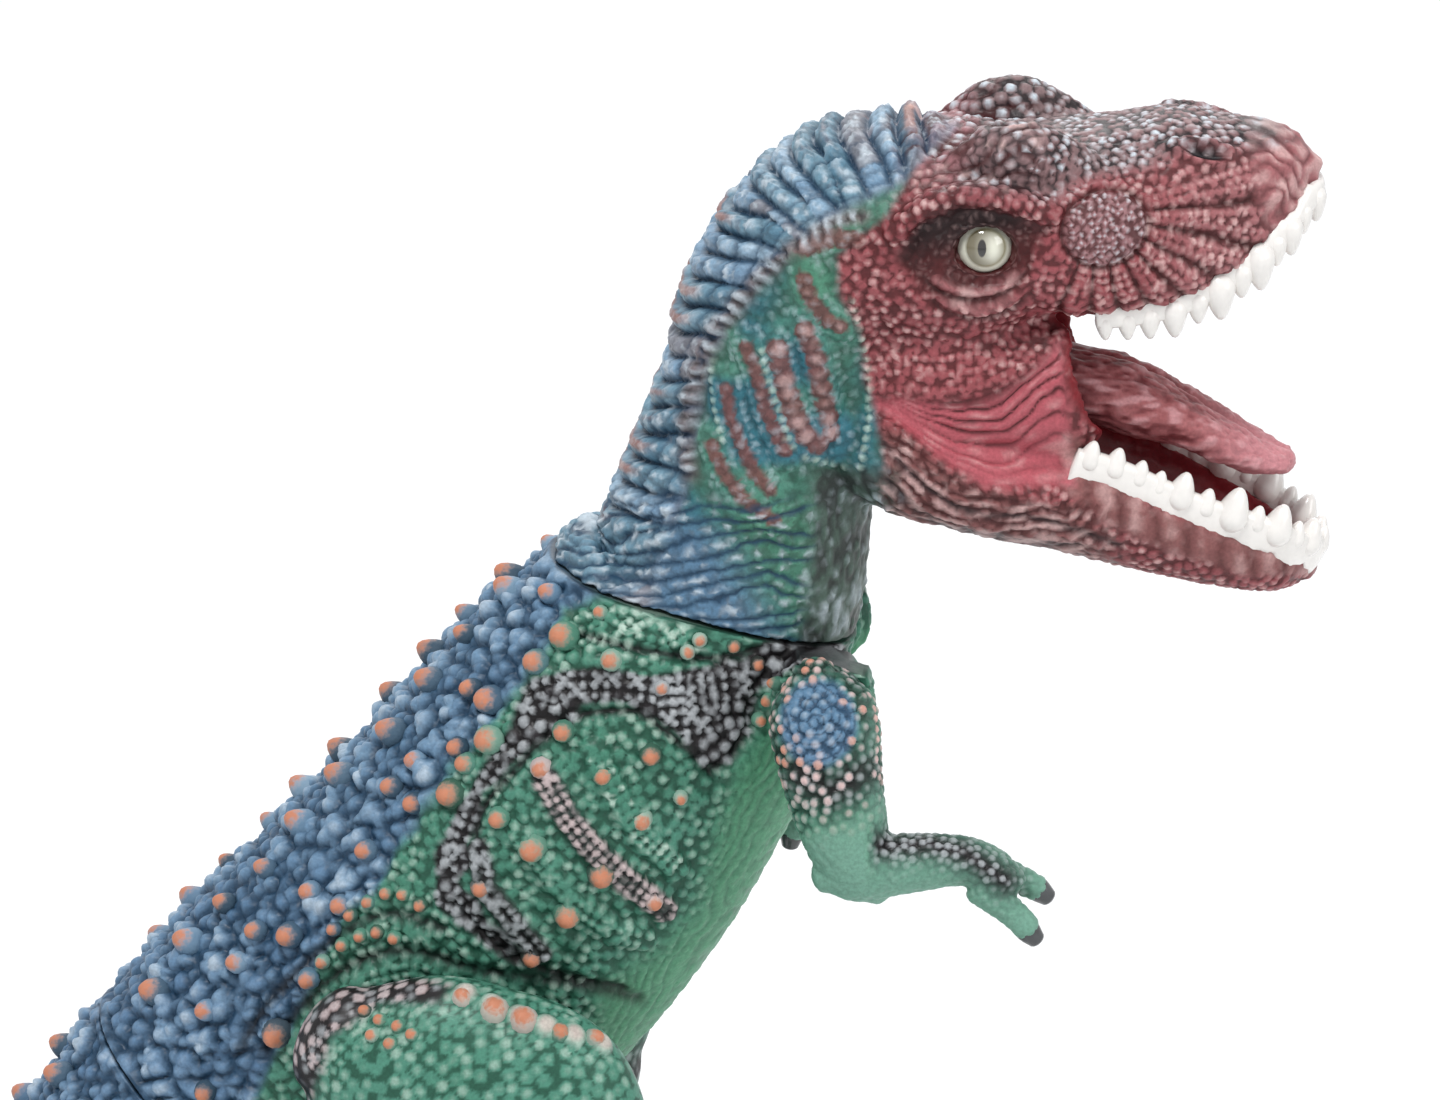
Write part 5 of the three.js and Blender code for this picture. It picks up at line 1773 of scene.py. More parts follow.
def sculptHead(skin):
    zone = headZones(skin)
    zone.flat = (1 - zone.membrane) * (1 - zone.inside) * (1 - 0.8 * zone.lip)
    height = headScales(skin, zone) + zone.shake.skin * (1 - zone.membrane)
    for forms in (lipFan, eyeHollow, snoutForms, crestForms, neckForms, cheekForms, jawForms, ropeForms):
        height += forms(skin, zone)
    height = np.maximum(height, height * 0.6 + neckBeadRelief(skin, zone))
    coats = headUndercoats(skin, zone) + headGrooves(skin, zone) + headDryBrushAndHighlights(zone)
    return height, painted(firstCoat(skin, "crimson"), coats)


# The torso, the tail and the limbs

trunkSettings = {
    "scaleHeight": 0.4,  # a share of the scales' spacing
    "lumpSpacing": 6.4,
    "lumpFlatness": 1.35,
    "lumpHeight": 2.6,
    "creaseDepth": 1.2,
    "hipDepth": 0.9,
    "ribHeight": 1.5,
    "bellyFoldHeight": 0.35,
    "tailRingHeight": 0.5,
    "spacing": 2.1,
}
# The scales' spacing in each zone, in the order in which they cover each other.
trunkSpacings = {"belly": 1.5, "blue": 3.2, "band": 2.6, "beadGreen": 2.6}
trunkPeriods = {"bellyFold": 11, "crossFold": 5, "tailRing": 13, "shankStripe": 34, "armSwirl": 10}
trunkRowScales = {"clear": 1.4, "size": 1.7}
# How thick a casting is, for the height of its lumps: the tail's from its tip to its root.
girths = {"torso": 40, "leg": 15, "arm": 8, "tail": (3, 37)}
# Noise on the body, in the same order as the head's: the first on every casting, then each one's own.
trunkNoise = {
    "edgeX": (7, 5, 83),
    "edgeY": (7, 5, 84),
    "patchy": (0.5, 11, 81),
    "fleck": (0.5, 2.2, 82),
    "warpX": (1.3, 4, 91),
    "warpY": (1.3, 4, 92),
    "warpZ": (1.3, 4, 93),
    "skin": (0.1, 1.1, 97),
}
torsoNoise = {
    "foldWide": (9, 9, 99),
    "foldFine": (4, 3, 100),
    "crossWide": (2.5, 9, 102),
    "crossFine": (0.8, 3, 103),
}
tailNoise = {"ring": (2, 9, 101)}
legNoise = {"stripe": (4, 12, 111)}
armNoise = {"swirl": (5, 3, 121)}
# Regions on the photo whose edges waver, and others with even edges.
wavyRegions = {
    "blue": (16, [
        (0, 1700), (120, 1500), (215, 1180), (285, 1030), (322, 945), (385, 870), (428, 800),
        (470, 742), (515, 690), (545, 640), (560, 605), (650, 590), (745, 622), (790, 610), (870, 590),
        (900, 500), (600, 300), (0, 700), (-600, 1300), (-1500, 1700),
    ]),
    "band": (8, [
        (525, 681), (554, 668), (599, 668), (643, 678), (707, 668), (739, 656), (768, 640), (819, 636),
        (850, 650), (856, 672), (796, 668), (764, 690), (752, 739), (726, 764), (707, 767), (681, 739),
        (656, 719), (618, 707), (586, 710), (554, 732), (516, 764), (484, 802), (477, 831), (462, 879),
        (482, 911), (530, 952), (516, 968), (452, 920), (433, 888), (439, 847), (461, 799), (484, 764),
        (512, 726),
    ]),
}
trunkRegions = {
    "beadGreen": (14, [
        (548, 628), (586, 597), (640, 594), (665, 606), (712, 640), (705, 662), (640, 655), (560, 660),
    ]),
    "belly": (40, [
        (790, 690), (736, 772), (712, 850), (700, 905), (660, 950), (600, 985), (560, 1500),
        (900, 1500), (900, 700),
    ]),
}
# Rows of beads: a line, the beads' spacing and the rows' distances from it, all in photo pixels. The
# raised ribs also have half their width.
ribs = {
    "paleA": {
        "line": [(595, 752), (620, 800), (645, 838), (675, 866)],
        "width": 15,
        "step": 9.5,
        "offsets": (-8, 0, 8),
    },
    "darkB": {
        "line": [(545, 778), (566, 815), (590, 846), (626, 880), (664, 908)],
        "width": 15,
        "step": 9.5,
        "offsets": (-9, 0, 9),
    },
    "greenC": {
        "line": [(520, 838), (548, 872), (572, 902), (618, 934), (645, 938)],
        "width": 12,
        "step": 9.5,
        "offsets": (-5, 5),
    },
    "darkD": {
        "line": [(478, 850), (486, 888), (511, 920), (540, 952)],
        "width": 13,
        "step": 9.5,
        "offsets": (-6, 5),
    },
}
beadRows = [
    {"line": [(552, 648), (624, 632), (700, 650)], "step": 12, "offsets": (-24, -12, 0)},
    {
        "line": [(520, 700), (560, 682), (620, 682), (690, 690), (750, 680)],
        "step": 12,
        "offsets": (-8, 3, 14),
    },
    {
        "line": [(508, 745), (478, 790), (455, 850), (462, 900), (505, 948)],
        "step": 11,
        "offsets": (-17, -7, 4),
    },
    {"line": [(690, 672), (700, 740)], "step": 11, "offsets": (-22, -11, 0, 11, 22, 33)},
    {"line": [(285, 1046), (325, 1000), (365, 975), (412, 965), (470, 985)], "step": 11, "offsets": (0, 10)},
    {"line": [(255, 1040), (285, 1000), (330, 957), (378, 934), (430, 945)], "step": 11, "offsets": (-9, 0)},
    {"line": [(333, 929), (368, 902), (403, 894), (450, 920)], "step": 11, "offsets": (-8,)},
]
creaseLines = [
    [(573, 631), (624, 646), (691, 657), (739, 656), (775, 640)],
    [(478, 855), (478, 815), (515, 768), (545, 738), (585, 714), (640, 712)],
    [(452, 905), (500, 950), (560, 978), (625, 990)],
    [(715, 770), (742, 745), (756, 700)],
    [(640, 712), (690, 752), (712, 775)],
]
hipLines = [
    [(262, 1052), (312, 996), (353, 964), (412, 952), (480, 972), (560, 985), (640, 1000)],
    [(238, 1052), (262, 1010), (300, 968), (345, 930), (392, 915), (440, 930)],
]
trunkLines = {"crease": (5, creaseLines), "hip": (6, hipLines)}
shoulderRing = {"center": (818, 728), "turns": (150, 330), "radii": (46, 57, 68), "step": 10.5}
# Where forms and paint fade in, in millimetres.
trunkFades = {
    "creaseSide": (14, 24),
    "flankSide": (12, 26),
    "lumpGirth": (4, 24),
    "lowBlue": (110, 185),
    "tailGirth": (-232, -20),
    "tailSpacing": (-230, -60),
    "tailRings": (-228, -150),
    "foot": (22, 40),
    "stripeFoot": (30, 50),
    "stripeTop": (84, 100),
    "shankDark": (-60, -40),
    "legSpacing": (40, 110),
    "thighWearAndSheen": (100, 110),
}


def ringPlaces(ring):
    (x, y), places = ring["center"], []
    for radius in ring["radii"]:
        for turn in np.radians(np.arange(*ring["turns"], math.degrees(ring["step"] / radius))):
            places.append((x + radius * math.cos(turn), y + radius * math.sin(turn)))
    return places


# The zones of the body's paint, each a mask from 0 to 1, with the noise that its patterns share.
def trunkZones(skin, girth, ownNoise):
    photo, shake = skin.photo, noises(skin.points, {**trunkNoise, **ownNoise})
    edge = (photo[0] + shake.edgeX, photo[1] + shake.edgeY)
    masks = {**regionMasks(edge, wavyRegions), **regionMasks(photo, trunkRegions)}
    lines = {name: lineMask(photo, rows, width) for name, (width, rows) in trunkLines.items()}
    zone = SimpleNamespace(**masks, **lines, shake=shake, girth=girth)
    for name, rib in ribs.items():
        away, _, _ = lineField(photo, rib["line"])
        setattr(zone, name, 1 - ramp(away, rib["width"] * 0.65, rib["width"] * 1.2))
    zone.band *= 1 - zone.beadGreen
    zone.crease *= ramp(np.abs(skin.points[:, 1]), *trunkFades["creaseSide"])
    zone.patchy = 0.5 + shake.patchy
    zone.fleck = 0.5 + shake.fleck
    return zone


# The body's paint: dark in the scales' grooves, the creases and the hip's line, which is dark wash and also
# painted shade, and paler on the scales' tops, which is dry brushing and also painted highlight.
def trunkCoats(skin, zone):
    patchy, fleck, blue, belly = zone.patchy, zone.fleck, zone.blue, zone.belly
    dome, chance = zone.dome, zone.chance
    dark = np.maximum.reduce([zone.band, 0.9 * zone.darkB, 0.95 * zone.darkD])
    groove = 1 - ramp(dome, 0.05, 0.55 + 0.15 * blue)
    green = (1 - blue) * (1 - dark)
    wearAndSheen = ramp(dome * (0.55 + 0.45 * chance) + 0.4 * (fleck - 0.5), 0.55 - 0.2 * dark, 0.95 - 0.2 * dark)
    pale = 0.5 + 0.35 * zone.beadGreen + 0.35 * zone.paleA
    low = 1 - ramp(skin.points[:, 2], *trunkFades["lowBlue"])
    return [
        ("darkGreen", 0.45 * patchy),
        ("bellyGreen", belly),
        ("backBlue", blue),
        ("lowBlue", blue * low * 0.7),
        ("neckBlue", blue * 0.5 * chance),
        ("charcoal", dark),
        ("deepGreen", groove * green * (0.9 - 0.7 * belly)),
        ("deepBlue", groove * blue * 0.95),
        ("black", np.maximum(groove * dark, zone.crease * 0.95)),
        ("black", zone.hip * 0.8),
        ("bead", wearAndSheen * pale * green * (1 - 0.85 * belly)),
        ("ashBead", wearAndSheen * dark * (0.6 + 0.4 * patchy)),
        ("blush", wearAndSheen * zone.darkB * 0.45),
        ("pale", wearAndSheen * blue * (0.2 + 0.4 * chance)),
    ]


# The scales, the creases and the back's lumps, which are wider than tall, with deep clefts between.
def trunkForms(skin, zone, spacing, rowSeeds):
    facet, bead, chance = scalesWithRows(skin, spacing, rowSeeds, trunkRowScales, (15, 17))
    sizes, shake, blue = trunkSettings, zone.shake, zone.blue
    dome = facet * blue + bead * (1 - blue)
    depth = sizes["scaleHeight"] * np.clip(spacing, 1.5, 3.2) * (0.6 + 0.8 * chance)
    height = depth * (1 - 0.8 * zone.belly) * (dome - 1)
    flat = skin.points * np.array((1, 1, sizes["lumpFlatness"]))
    lumpSpacing = np.full(skin.count, sizes["lumpSpacing"])
    lumps = scatter(flat, lumpSpacing, 19)
    warped = flat + np.stack([shake.warpX, shake.warpY, shake.warpZ], 1)
    lump, _, lumpChance = cells(warped, flat[lumps], lumpSpacing[lumps], 18)
    rise = lump**0.6 * (0.35 + 0.9 * lumpChance)
    slim = ramp(zone.girth, *trunkFades["lumpGirth"])
    height += sizes["lumpHeight"] * (rise - 0.45) * blue * slim
    rounded = np.clip(0.45 * facet + 0.75 * lump * (0.5 + lumpChance) - 0.15, 0, 1)
    zone.dome = dome * (1 - blue) + blue * rounded
    zone.chance = chance + 0.5 * blue * (lumpChance - chance)
    return height - sizes["creaseDepth"] * zone.crease - sizes["hipDepth"] * zone.hip + shake.skin


def sculptTorso(skin):
    (px, py), (_, y, z) = skin.photo, skin.points.T
    zone = trunkZones(skin, girths["torso"], torsoNoise)
    changes = [(getattr(zone, name), size) for name, size in trunkSpacings.items()]
    spacing = blended(skin, trunkSettings["spacing"], changes)
    places = ringPlaces(shoulderRing) + beadRowPlaces([*beadRows, *ribs.values()])
    height = trunkForms(skin, zone, spacing, onBothSides(onSurface(skin, places)))
    for name in ribs:
        height += trunkSettings["ribHeight"] * getattr(zone, name)
    slant = px + 0.55 * py + zone.shake.foldWide + zone.shake.foldFine
    onFlank = stripes(slant, trunkPeriods["bellyFold"])
    onFront = stripes(z + zone.shake.crossWide + zone.shake.crossFine, trunkPeriods["crossFold"])
    flank = ramp(np.abs(y), *trunkFades["flankSide"])
    crinkle = flank * onFlank + (1 - flank) * onFront
    height += trunkSettings["bellyFoldHeight"] * (crinkle - 0.6) * zone.belly
    # Darker in the belly's folds: painted shade.
    folds = ("deepGreen", (1 - ramp(crinkle, 0.2, 0.7)) * zone.belly * 0.4)
    return height * skin.hold, painted(firstCoat(skin, "green"), [*trunkCoats(skin, zone), folds])


def sculptTail(skin):
    x, _, z = skin.points.T
    tip, root = girths["tail"]
    zone = trunkZones(skin, tip + (root - tip) * ramp(x, *trunkFades["tailGirth"]), tailNoise)
    spacing = 1.5 + 1.4 * ramp(x, *trunkFades["tailSpacing"])
    height = trunkForms(skin, zone, spacing, [])
    rings = stripes(x + 0.25 * z + zone.shake.ring, trunkPeriods["tailRing"])
    height += trunkSettings["tailRingHeight"] * (rings - 0.6) * ramp(x, *trunkFades["tailRings"])
    return height * skin.hold, painted(firstCoat(skin, "green"), trunkCoats(skin, zone))


thighRows = [
    {"line": [(455, 992), (500, 1008), (545, 1026), (610, 1040)], "step": 12, "offsets": (-14, 16)},
    {"line": [(300, 1062), (345, 1015), (385, 1000), (440, 1010)], "step": 11, "offsets": (0, 10, 20, 30)},
]
thighDark = [
    (262, 1110), (285, 1035), (335, 985), (400, 972), (450, 985), (440, 1004), (380, 1004), (330, 1040),
    (310, 1110),
]
thighDarkEdge = 16
thighScutes = {
    "line": [(452, 988), (490, 1004), (520, 1017), (560, 1031), (610, 1046)],
    "step": 29,
    "radius": 3.0,
    "height": 1.5,
    "power": 0.6,
}


def sculptLeg(skin):
    x, _, z = skin.points.T
    fades, scute = trunkFades, thighScutes
    zone = trunkZones(skin, girths["leg"], legNoise)
    bands = stripes(z + 0.35 * x + zone.shake.stripe, trunkPeriods["shankStripe"])
    shank = ramp(z, *fades["stripeFoot"]) * (1 - ramp(z, *fades["stripeTop"]))
    dark = polygonMask(skin.photo, thighDark, thighDarkEdge)
    zone.blue = np.zeros(skin.count)
    zone.band = np.maximum(ramp(bands, 0.75, 0.95) * shank, dark)
    zone.belly = 0.35 * ramp(-z, *fades["shankDark"])
    zone.patchy = np.maximum(zone.patchy - 0.3, 0)
    spacing = 2.0 + 0.6 * ramp(z, *fades["legSpacing"])
    height = trunkForms(skin, zone, spacing, onSurface(skin, beadRowPlaces(thighRows)))
    scutes = np.zeros(skin.count)
    for place in onSurface(skin, alongLine(scute["line"], scute["step"])):
        bump(skin, place, scute["radius"], 1.0, scutes, scute["power"])
    height = np.maximum(height, scute["height"] * scutes)
    # Paler paint on the dark band's scales high on the thigh: rubbed paint and painted highlight.
    rubbedAndLit = ramp(zone.dome * zone.chance, 0.3, 0.6) * ramp(z, *fades["thighWearAndSheen"])
    coats = [
        *trunkCoats(skin, zone),
        ("bead", ramp(scutes, 0.2, 0.6) * 0.45),
        ("blush", ramp(scutes, 0.6, 0.95) * 0.5),
        ("blush", zone.band * rubbedAndLit * 0.35),
        ("footGreen", (1 - ramp(z, *fades["foot"])) * 0.5),
    ]
    return height * skin.hold, painted(firstCoat(skin, "green"), coats)


# The arm's paint, in photo pixels: a blue cap on the shoulder in a ring, a cuff and a dark stripe.
armSettings = {
    "cap": {"center": (818, 722), "squash": 0.9, "edge": (34, 46), "wearAndHighlight": (30, 44), "tips": (14, 24)},
    "ring": {"radius": 52, "edge": (4, 14)},
    "upperEnd": (760, 800),
    "cuff": {"line": [(800, 775), (835, 790), (870, 770)], "width": 30},
    "stripe": {"line": [(872, 846), (925, 842), (965, 852), (1005, 880)], "width": 25, "start": (862, 880)},
    "elbow": 850,
    "palmStart": (790, 830),
    "handStart": (850, 880),
    "handScales": (862, 890),
}
armBare = ("band", "beadGreen", "belly", "paleA", "darkB", "greenC", "darkD", "crease", "hip")


def sculptArm(skin):
    px, py = skin.photo
    cap, stripe, arm = armSettings["cap"], armSettings["stripe"], armSettings
    zone = trunkZones(skin, girths["arm"], armNoise)
    vars(zone).update(dict.fromkeys(armBare, np.zeros(skin.count)))
    ring = np.hypot(px - cap["center"][0], (py - cap["center"][1]) * cap["squash"])
    onCap = 1 - ramp(ring, *cap["edge"])
    upper = 1 - ramp(py, *arm["upperEnd"])
    cuff = bell(lineField(skin.photo, arm["cuff"]["line"])[0], 0, arm["cuff"]["width"])
    fore = bell(lineField(skin.photo, stripe["line"])[0], 0, stripe["width"]) * ramp(px, *stripe["start"])
    onRing = (1 - ramp(np.abs(ring - arm["ring"]["radius"]), *arm["ring"]["edge"])) * upper
    zone.band = np.clip(np.maximum.reduce([fore, cuff * 0.9, onRing * 0.6]), 0, 1)
    zone.belly = (1 - zone.band) * ramp(py + 0.5 * (px - arm["elbow"]), *arm["palmStart"])
    spacing = 2.1 - 0.4 * ramp(px, *arm["handScales"])
    height = trunkForms(skin, zone, spacing, [])
    dome, chance, hand = zone.dome, zone.chance, ramp(px, *arm["handStart"])
    swirl = stripes(ring + 0.25 * (px + py) + zone.shake.swirl, trunkPeriods["armSwirl"])
    grooves = np.maximum(1 - ramp(swirl, 0.1, 0.6), 1 - ramp(dome, 0, 0.4))
    wearAndSheen = ramp(dome * (0.5 + 0.5 * chance), 0.5, 0.85)
    tips = np.maximum(cuff, ramp(ring, *cap["wearAndHighlight"]) * upper) * (1 - 0.9 * fore)
    orange = ramp(chance, 0.78, 0.84) * wearAndSheen * upper * ramp(ring, *cap["tips"]) * (1 - 0.7 * hand)
    # The cap's grooves are darker, dark wash and painted shade, and the scales' tops are paler, rubbed paint
    # and painted highlight.
    coats = [
        *trunkCoats(skin, zone),
        ("armGreen", (1 - zone.band) * np.maximum(zone.belly, hand) * 0.8),
        ("backBlue", onCap * 0.95),
        ("deepBlue", onCap * grooves * 0.8),
        ("blush", wearAndSheen * tips * 0.8 * ramp(chance, 0.2, 0.6)),
        ("orange", orange * 0.8),
        ("pale", wearAndSheen * onCap * 0.3),
    ]
    return height * skin.hold, painted(firstCoat(skin, "green"), coats)


# The skin with its relief and paint, thinned to its casting's number of triangles.
def finished(name, skin, sculpted, setting):
    height, paint = sculpted
    copy = Skin(skin.mesh.copy())
    copy.move(skin.smoothNormals * height[:, None])
    # The flat faces at the seams are darkened, as painted shade in the gaps between the castings.
    copy.storePaint(paint * (1 - seamSettings["shade"] * skin.seamFace[:, None]))
    thing = smoothShaded(newObject(name, copy.mesh))
    total = 2 * len(copy.mesh.polygons)
    if total > setting["triangles"]:
        thin = thing.modifiers.new("thin", "DECIMATE")
        thin.ratio = setting["triangles"] / total
        thing.data = evaluated(thing)
        thing.modifiers.clear()
        bpy.data.meshes.remove(copy.mesh)
    print(name, "triangles", sum(len(p.vertices) - 2 for p in thing.data.polygons))
    return thing


def mirrored(thing, name):
    mesh = thing.data.copy()
    moveVertices(mesh, verticesOf(mesh) * (1, -1, 1))
    mesh.flip_normals()
    mesh.update()
    return newObject(name, mesh)


def fixTo(thing, body, node, material):
    thing.data.materials.clear()
    thing.data.materials.append(material)
    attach(thing, body)
    if node:
        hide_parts(node)


# Pieces that repeat, set out by geometry nodes


# A node group that stands a rounded cone on every point, along the point's outward attribute.
def spikeNodes(name, settings, material):
    tree = bpy.data.node_groups.new(name, "GeometryNodeTree")
    tree.interface.new_socket("Geometry", in_out="OUTPUT", socket_type="NodeSocketGeometry")
    tree.interface.new_socket("Points", in_out="INPUT", socket_type="NodeSocketGeometry")
    for key in ("Radius", "Height", "Point", "Curl"):
        socket = tree.interface.new_socket(key, in_out="INPUT", socket_type="NodeSocketFloat")
        socket.default_value = settings[key.lower()]
    given = addNode(tree, "NodeGroupInput").outputs

    def mathNode(operation, first, second):
        return addNode(tree, "ShaderNodeMath", {0: first, 1: second}, operation=operation).outputs[0]

    def attribute(key, kind):
        node = addNode(tree, "GeometryNodeInputNamedAttribute", {"Name": key}, data_type=kind)
        return node.outputs["Attribute"]

    def facing(vector, axis, **more):
        inputs = {"Vector": attribute(vector, "FLOAT_VECTOR"), **more}
        return addNode(tree, "FunctionNodeAlignRotationToVector", inputs, axis=axis)

    sphere = {"Segments": settings["sides"], "Rings": settings["rings"], "Radius": 1.0}
    ball = addNode(tree, "GeometryNodeMeshUVSphere", sphere).outputs["Mesh"]
    position = addNode(tree, "GeometryNodeInputPosition").outputs[0]
    split = addNode(tree, "ShaderNodeSeparateXYZ", {0: position}).outputs
    up = mathNode("MAXIMUM", split["Z"], 0.0)
    peak = mathNode("MULTIPLY", mathNode("POWER", up, 3.0), given["Point"])
    rise = mathNode("MULTIPLY", mathNode("ADD", split["Z"], peak), given["Height"])
    lean = mathNode("MULTIPLY", mathNode("POWER", up, 2.0), given["Curl"])
    across = mathNode("ADD", mathNode("MULTIPLY", split["X"], given["Radius"]), lean)
    along = mathNode("MULTIPLY", split["Y"], given["Radius"])
    shape = addNode(tree, "ShaderNodeCombineXYZ", {"X": across, "Y": along, "Z": rise}).outputs[0]
    kept = {"data_type": "FLOAT", "domain": "POINT"}
    tipped = {"Geometry": ball, "Name": "tip", "Value": up}
    tip = addNode(tree, "GeometryNodeStoreNamedAttribute", tipped, **kept).outputs["Geometry"]
    cone = addNode(tree, "GeometryNodeSetPosition", {"Geometry": tip, "Position": shape})
    stand = facing("outward", "Z")
    turn = facing("curlTo", "X", Rotation=stand.outputs[0])
    turn.pivot_axis = "Z"
    placed = addNode(tree, "GeometryNodeInstanceOnPoints", {
        "Points": given["Points"],
        "Instance": cone.outputs["Geometry"],
        "Rotation": turn.outputs[0],
        "Scale": attribute("size", "FLOAT"),
    })
    real = addNode(tree, "GeometryNodeRealizeInstances", {"Geometry": placed.outputs["Instances"]})
    smooth = addNode(tree, "GeometryNodeSetShadeSmooth", {"Geometry": real.outputs["Geometry"]})
    dressed = {"Geometry": smooth.outputs["Geometry"], "Material": material}
    finish = addNode(tree, "GeometryNodeSetMaterial", dressed)
    addNode(tree, "NodeGroupOutput", {"Geometry": finish.outputs["Geometry"]})
    return tree


# What each spot says to the nodes: the attribute's name, its kind and its field.
spotAttributes = [
    ("outward", "FLOAT_VECTOR", "vector"),
    ("curlTo", "FLOAT_VECTOR", "vector"),
    ("size", "FLOAT", "value"),
    ("basePaint", "FLOAT_COLOR", "color"),
]


# Rounded cones at the spots, made one plain mesh.
def spikes(name, spots, settings, material):
    mesh = newMesh(name, np.array([spot["place"] for spot in spots]), [])
    for key, kind, field in spotAttributes:
        rows = np.array([spot[key] for spot in spots], np.float32)
        mesh.attributes.new(key, kind, "POINT").data.foreach_set(field, rows.ravel())
    thing = newObject(name, mesh)
    setOut = thing.modifiers.new("setOut", "NODES")
    metres = {key: settings[key] / 1000 for key in ("radius", "height", "curl")}
    values = {**settings, **metres}
    setOut.node_group = spikeNodes(name + "Nodes", values, material)
    for item in setOut.node_group.interface.items_tree:
        if item.in_out == "INPUT" and item.socket_type == "NodeSocketFloat":
            setOut[item.identifier] = values[item.name.lower()]
    result = evaluated(thing)
    thing.modifiers.clear()
    thing.data = result
    bpy.data.meshes.remove(mesh)
    return thing


# The studs, whose orange tips are pale round their edges: rubbed paint and painted highlight.
studSettings = {
    "radius": 2.55,
    "height": 2.3,
    "point": 0.5,
    "curl": 0.6,
    "curlTo": (-0.6, 0, -0.8),
    "sides": 12,
    "rings": 10,
    "sunk": 0.35,  # a share of the height
    "seamClearance": 0.4,
    "beadShare": 0.05,
    "apart": 7,
}
studPaint = {
    "rubbedAndLit": "#d3b3a4",
    "roughness": 0.57,
    "grainScale": 900,
    "grain": (-0.12, 0.12),
    "rubbedAndLitSpan": (0.5, 0.8),
    "rubbedAndLitShare": (0, 0.35),
    "tipSpan": (0.66, 0.92),
    "tipShare": (0, 0.95),
    "bump": {"scale": 1500, "strength": 0.3, "distance": 0.0005},
}
# Their photo places, by the studs' size.
studPlaces = {
    1.35: [
        (509, 588), (563, 635), (430, 679), (488, 739), (450, 793), (340, 774), (300, 821), (188, 940),
        (154, 990), (532, 848), (602, 874), (568, 914), (276, 1034), (488, 699), (391, 730), (524, 1019),
        (495, 1009),
    ],
    1.0: [
        (549, 592), (465, 633), (470, 688), (457, 747), (465, 763), (391, 786), (413, 803), (498, 818),
        (541, 768), (603, 775), (265, 867), (309, 891), (224, 902), (236, 962), (308, 979), (119, 1043),
        (656, 621), (611, 660), (651, 755), (642, 820), (481, 887), (654, 900), (532, 957), (463, 997),
        (560, 1032), (595, 1038), (365, 850), (205, 1010), (340, 905), (415, 760), (255, 930),
    ],
    0.68: [
        (710, 616), (725, 638), (734, 646), (758, 664), (662, 688), (681, 798), (775, 683), (817, 721),
        (801, 732), (841, 715), (827, 751), (796, 759), (333, 929), (350, 915), (368, 902), (386, 893),
        (403, 894), (420, 905), (306, 982), (322, 962), (342, 945), (360, 936), (377, 932), (394, 938),
        (365, 1011), (380, 1020), (398, 1026), (412, 1034), (390, 1043), (372, 1035), (806, 712),
        (834, 735), (812, 745), (768, 700), (760, 720), (700, 640), (688, 652), (586, 600), (600, 612),
        (640, 600),
    ],
}


def studMaterial(settings):
    material, tree, shader = newMaterial("studVinyl")
    mixed = attributeNode(tree, "basePaint").outputs["Color"]
    tip = attributeNode(tree, "tip").outputs["Fac"]
    grain = rangeNode(tree, noiseNode(tree, settings["grainScale"]), noiseSpan, settings["grain"])
    edge = addNode(tree, "ShaderNodeMath", {0: tip, 1: grain}, operation="ADD").outputs[0]
    # The pale ring round the tip is rubbed paint and painted highlight.
    for span, share, tone in (
        ("rubbedAndLitSpan", "rubbedAndLitShare", settings["rubbedAndLit"]),
        ("tipSpan", "tipShare", paintSettings["orange"]),
    ):
        mask = rangeNode(tree, edge, settings[span], settings[share])
        mixed = mixNode(tree, "MIX", mask, mixed, (*colour(tone), 1))
    finish = {"Roughness": settings["roughness"], "Specular IOR Level": vinylSettings["specular"]}
    setInputs(shader, {"Base Color": mixed, **finish})
    bump = settings["bump"]
    addBump(tree, shader, noiseNode(tree, bump["scale"]), bump["strength"], bump["distance"])
    return material


# A stud with its twin on the far side, or none if it doesn't stay clear of the seams.
def studPair(hit, size, skin, paint):
    reach = studSettings["radius"] * size + studSettings["seamClearance"]
    if any(fromPlane(hit[0], plane) < reach for plane in (neckBefore, tailBefore)):
        return []
    pair, share = [], studSettings["beadShare"]
    for flip in (np.array((1, 1, 1)), np.array((1, -1, 1))):
        place, outward = hit[0] * flip, hit[1] * flip
        under = paint[skin.tree.find(place)[1]]
        pair.append({
            "place": place - outward * studSettings["sunk"] * studSettings["height"] * size,
            "outward": outward,
            "curlTo": studSettings["curlTo"],
            "size": size,
            "basePaint": (*(under * (1 - share) + colour(paintSettings["bead"]) * share), 1),
        })
    return pair


# The studs whose rays meet this casting before the others.
def studSpots(skin, paint, others):
    spots = []
    for size, places in studPlaces.items():
        for place in places:
            ray = rayThrough(*place)
            hit = hitOf(skin, cameraPlace, ray)
            before = [hitOf(other, cameraPlace, ray) for other in others] if hit else []
            if hit and not any(other and other[2] < hit[2] for other in before):
                spots += studPair(hit, size, skin, paint)
    return spots


# Rows of studs down the back: degrees from the top, where a row starts as a share of the spacing, and
# the studs' size, which shrinks where the body is slimmer than the slim width. A span is in mm along
# the spine, each end from a joint.
backSettings = {
    "rows": [(13, 0, 1.25), (40, 0.5, 1.2), (62, 0, 1.0)],
    "spacing": 15,
    "slim": 19,
    "rayStart": 120,
    "spans": {
        "torso": (("tail_swivel", 11), ("neck_swivel", -11)),
        "tail": (("tail_swivel", -150), ("tail_swivel", -11)),
    },
}


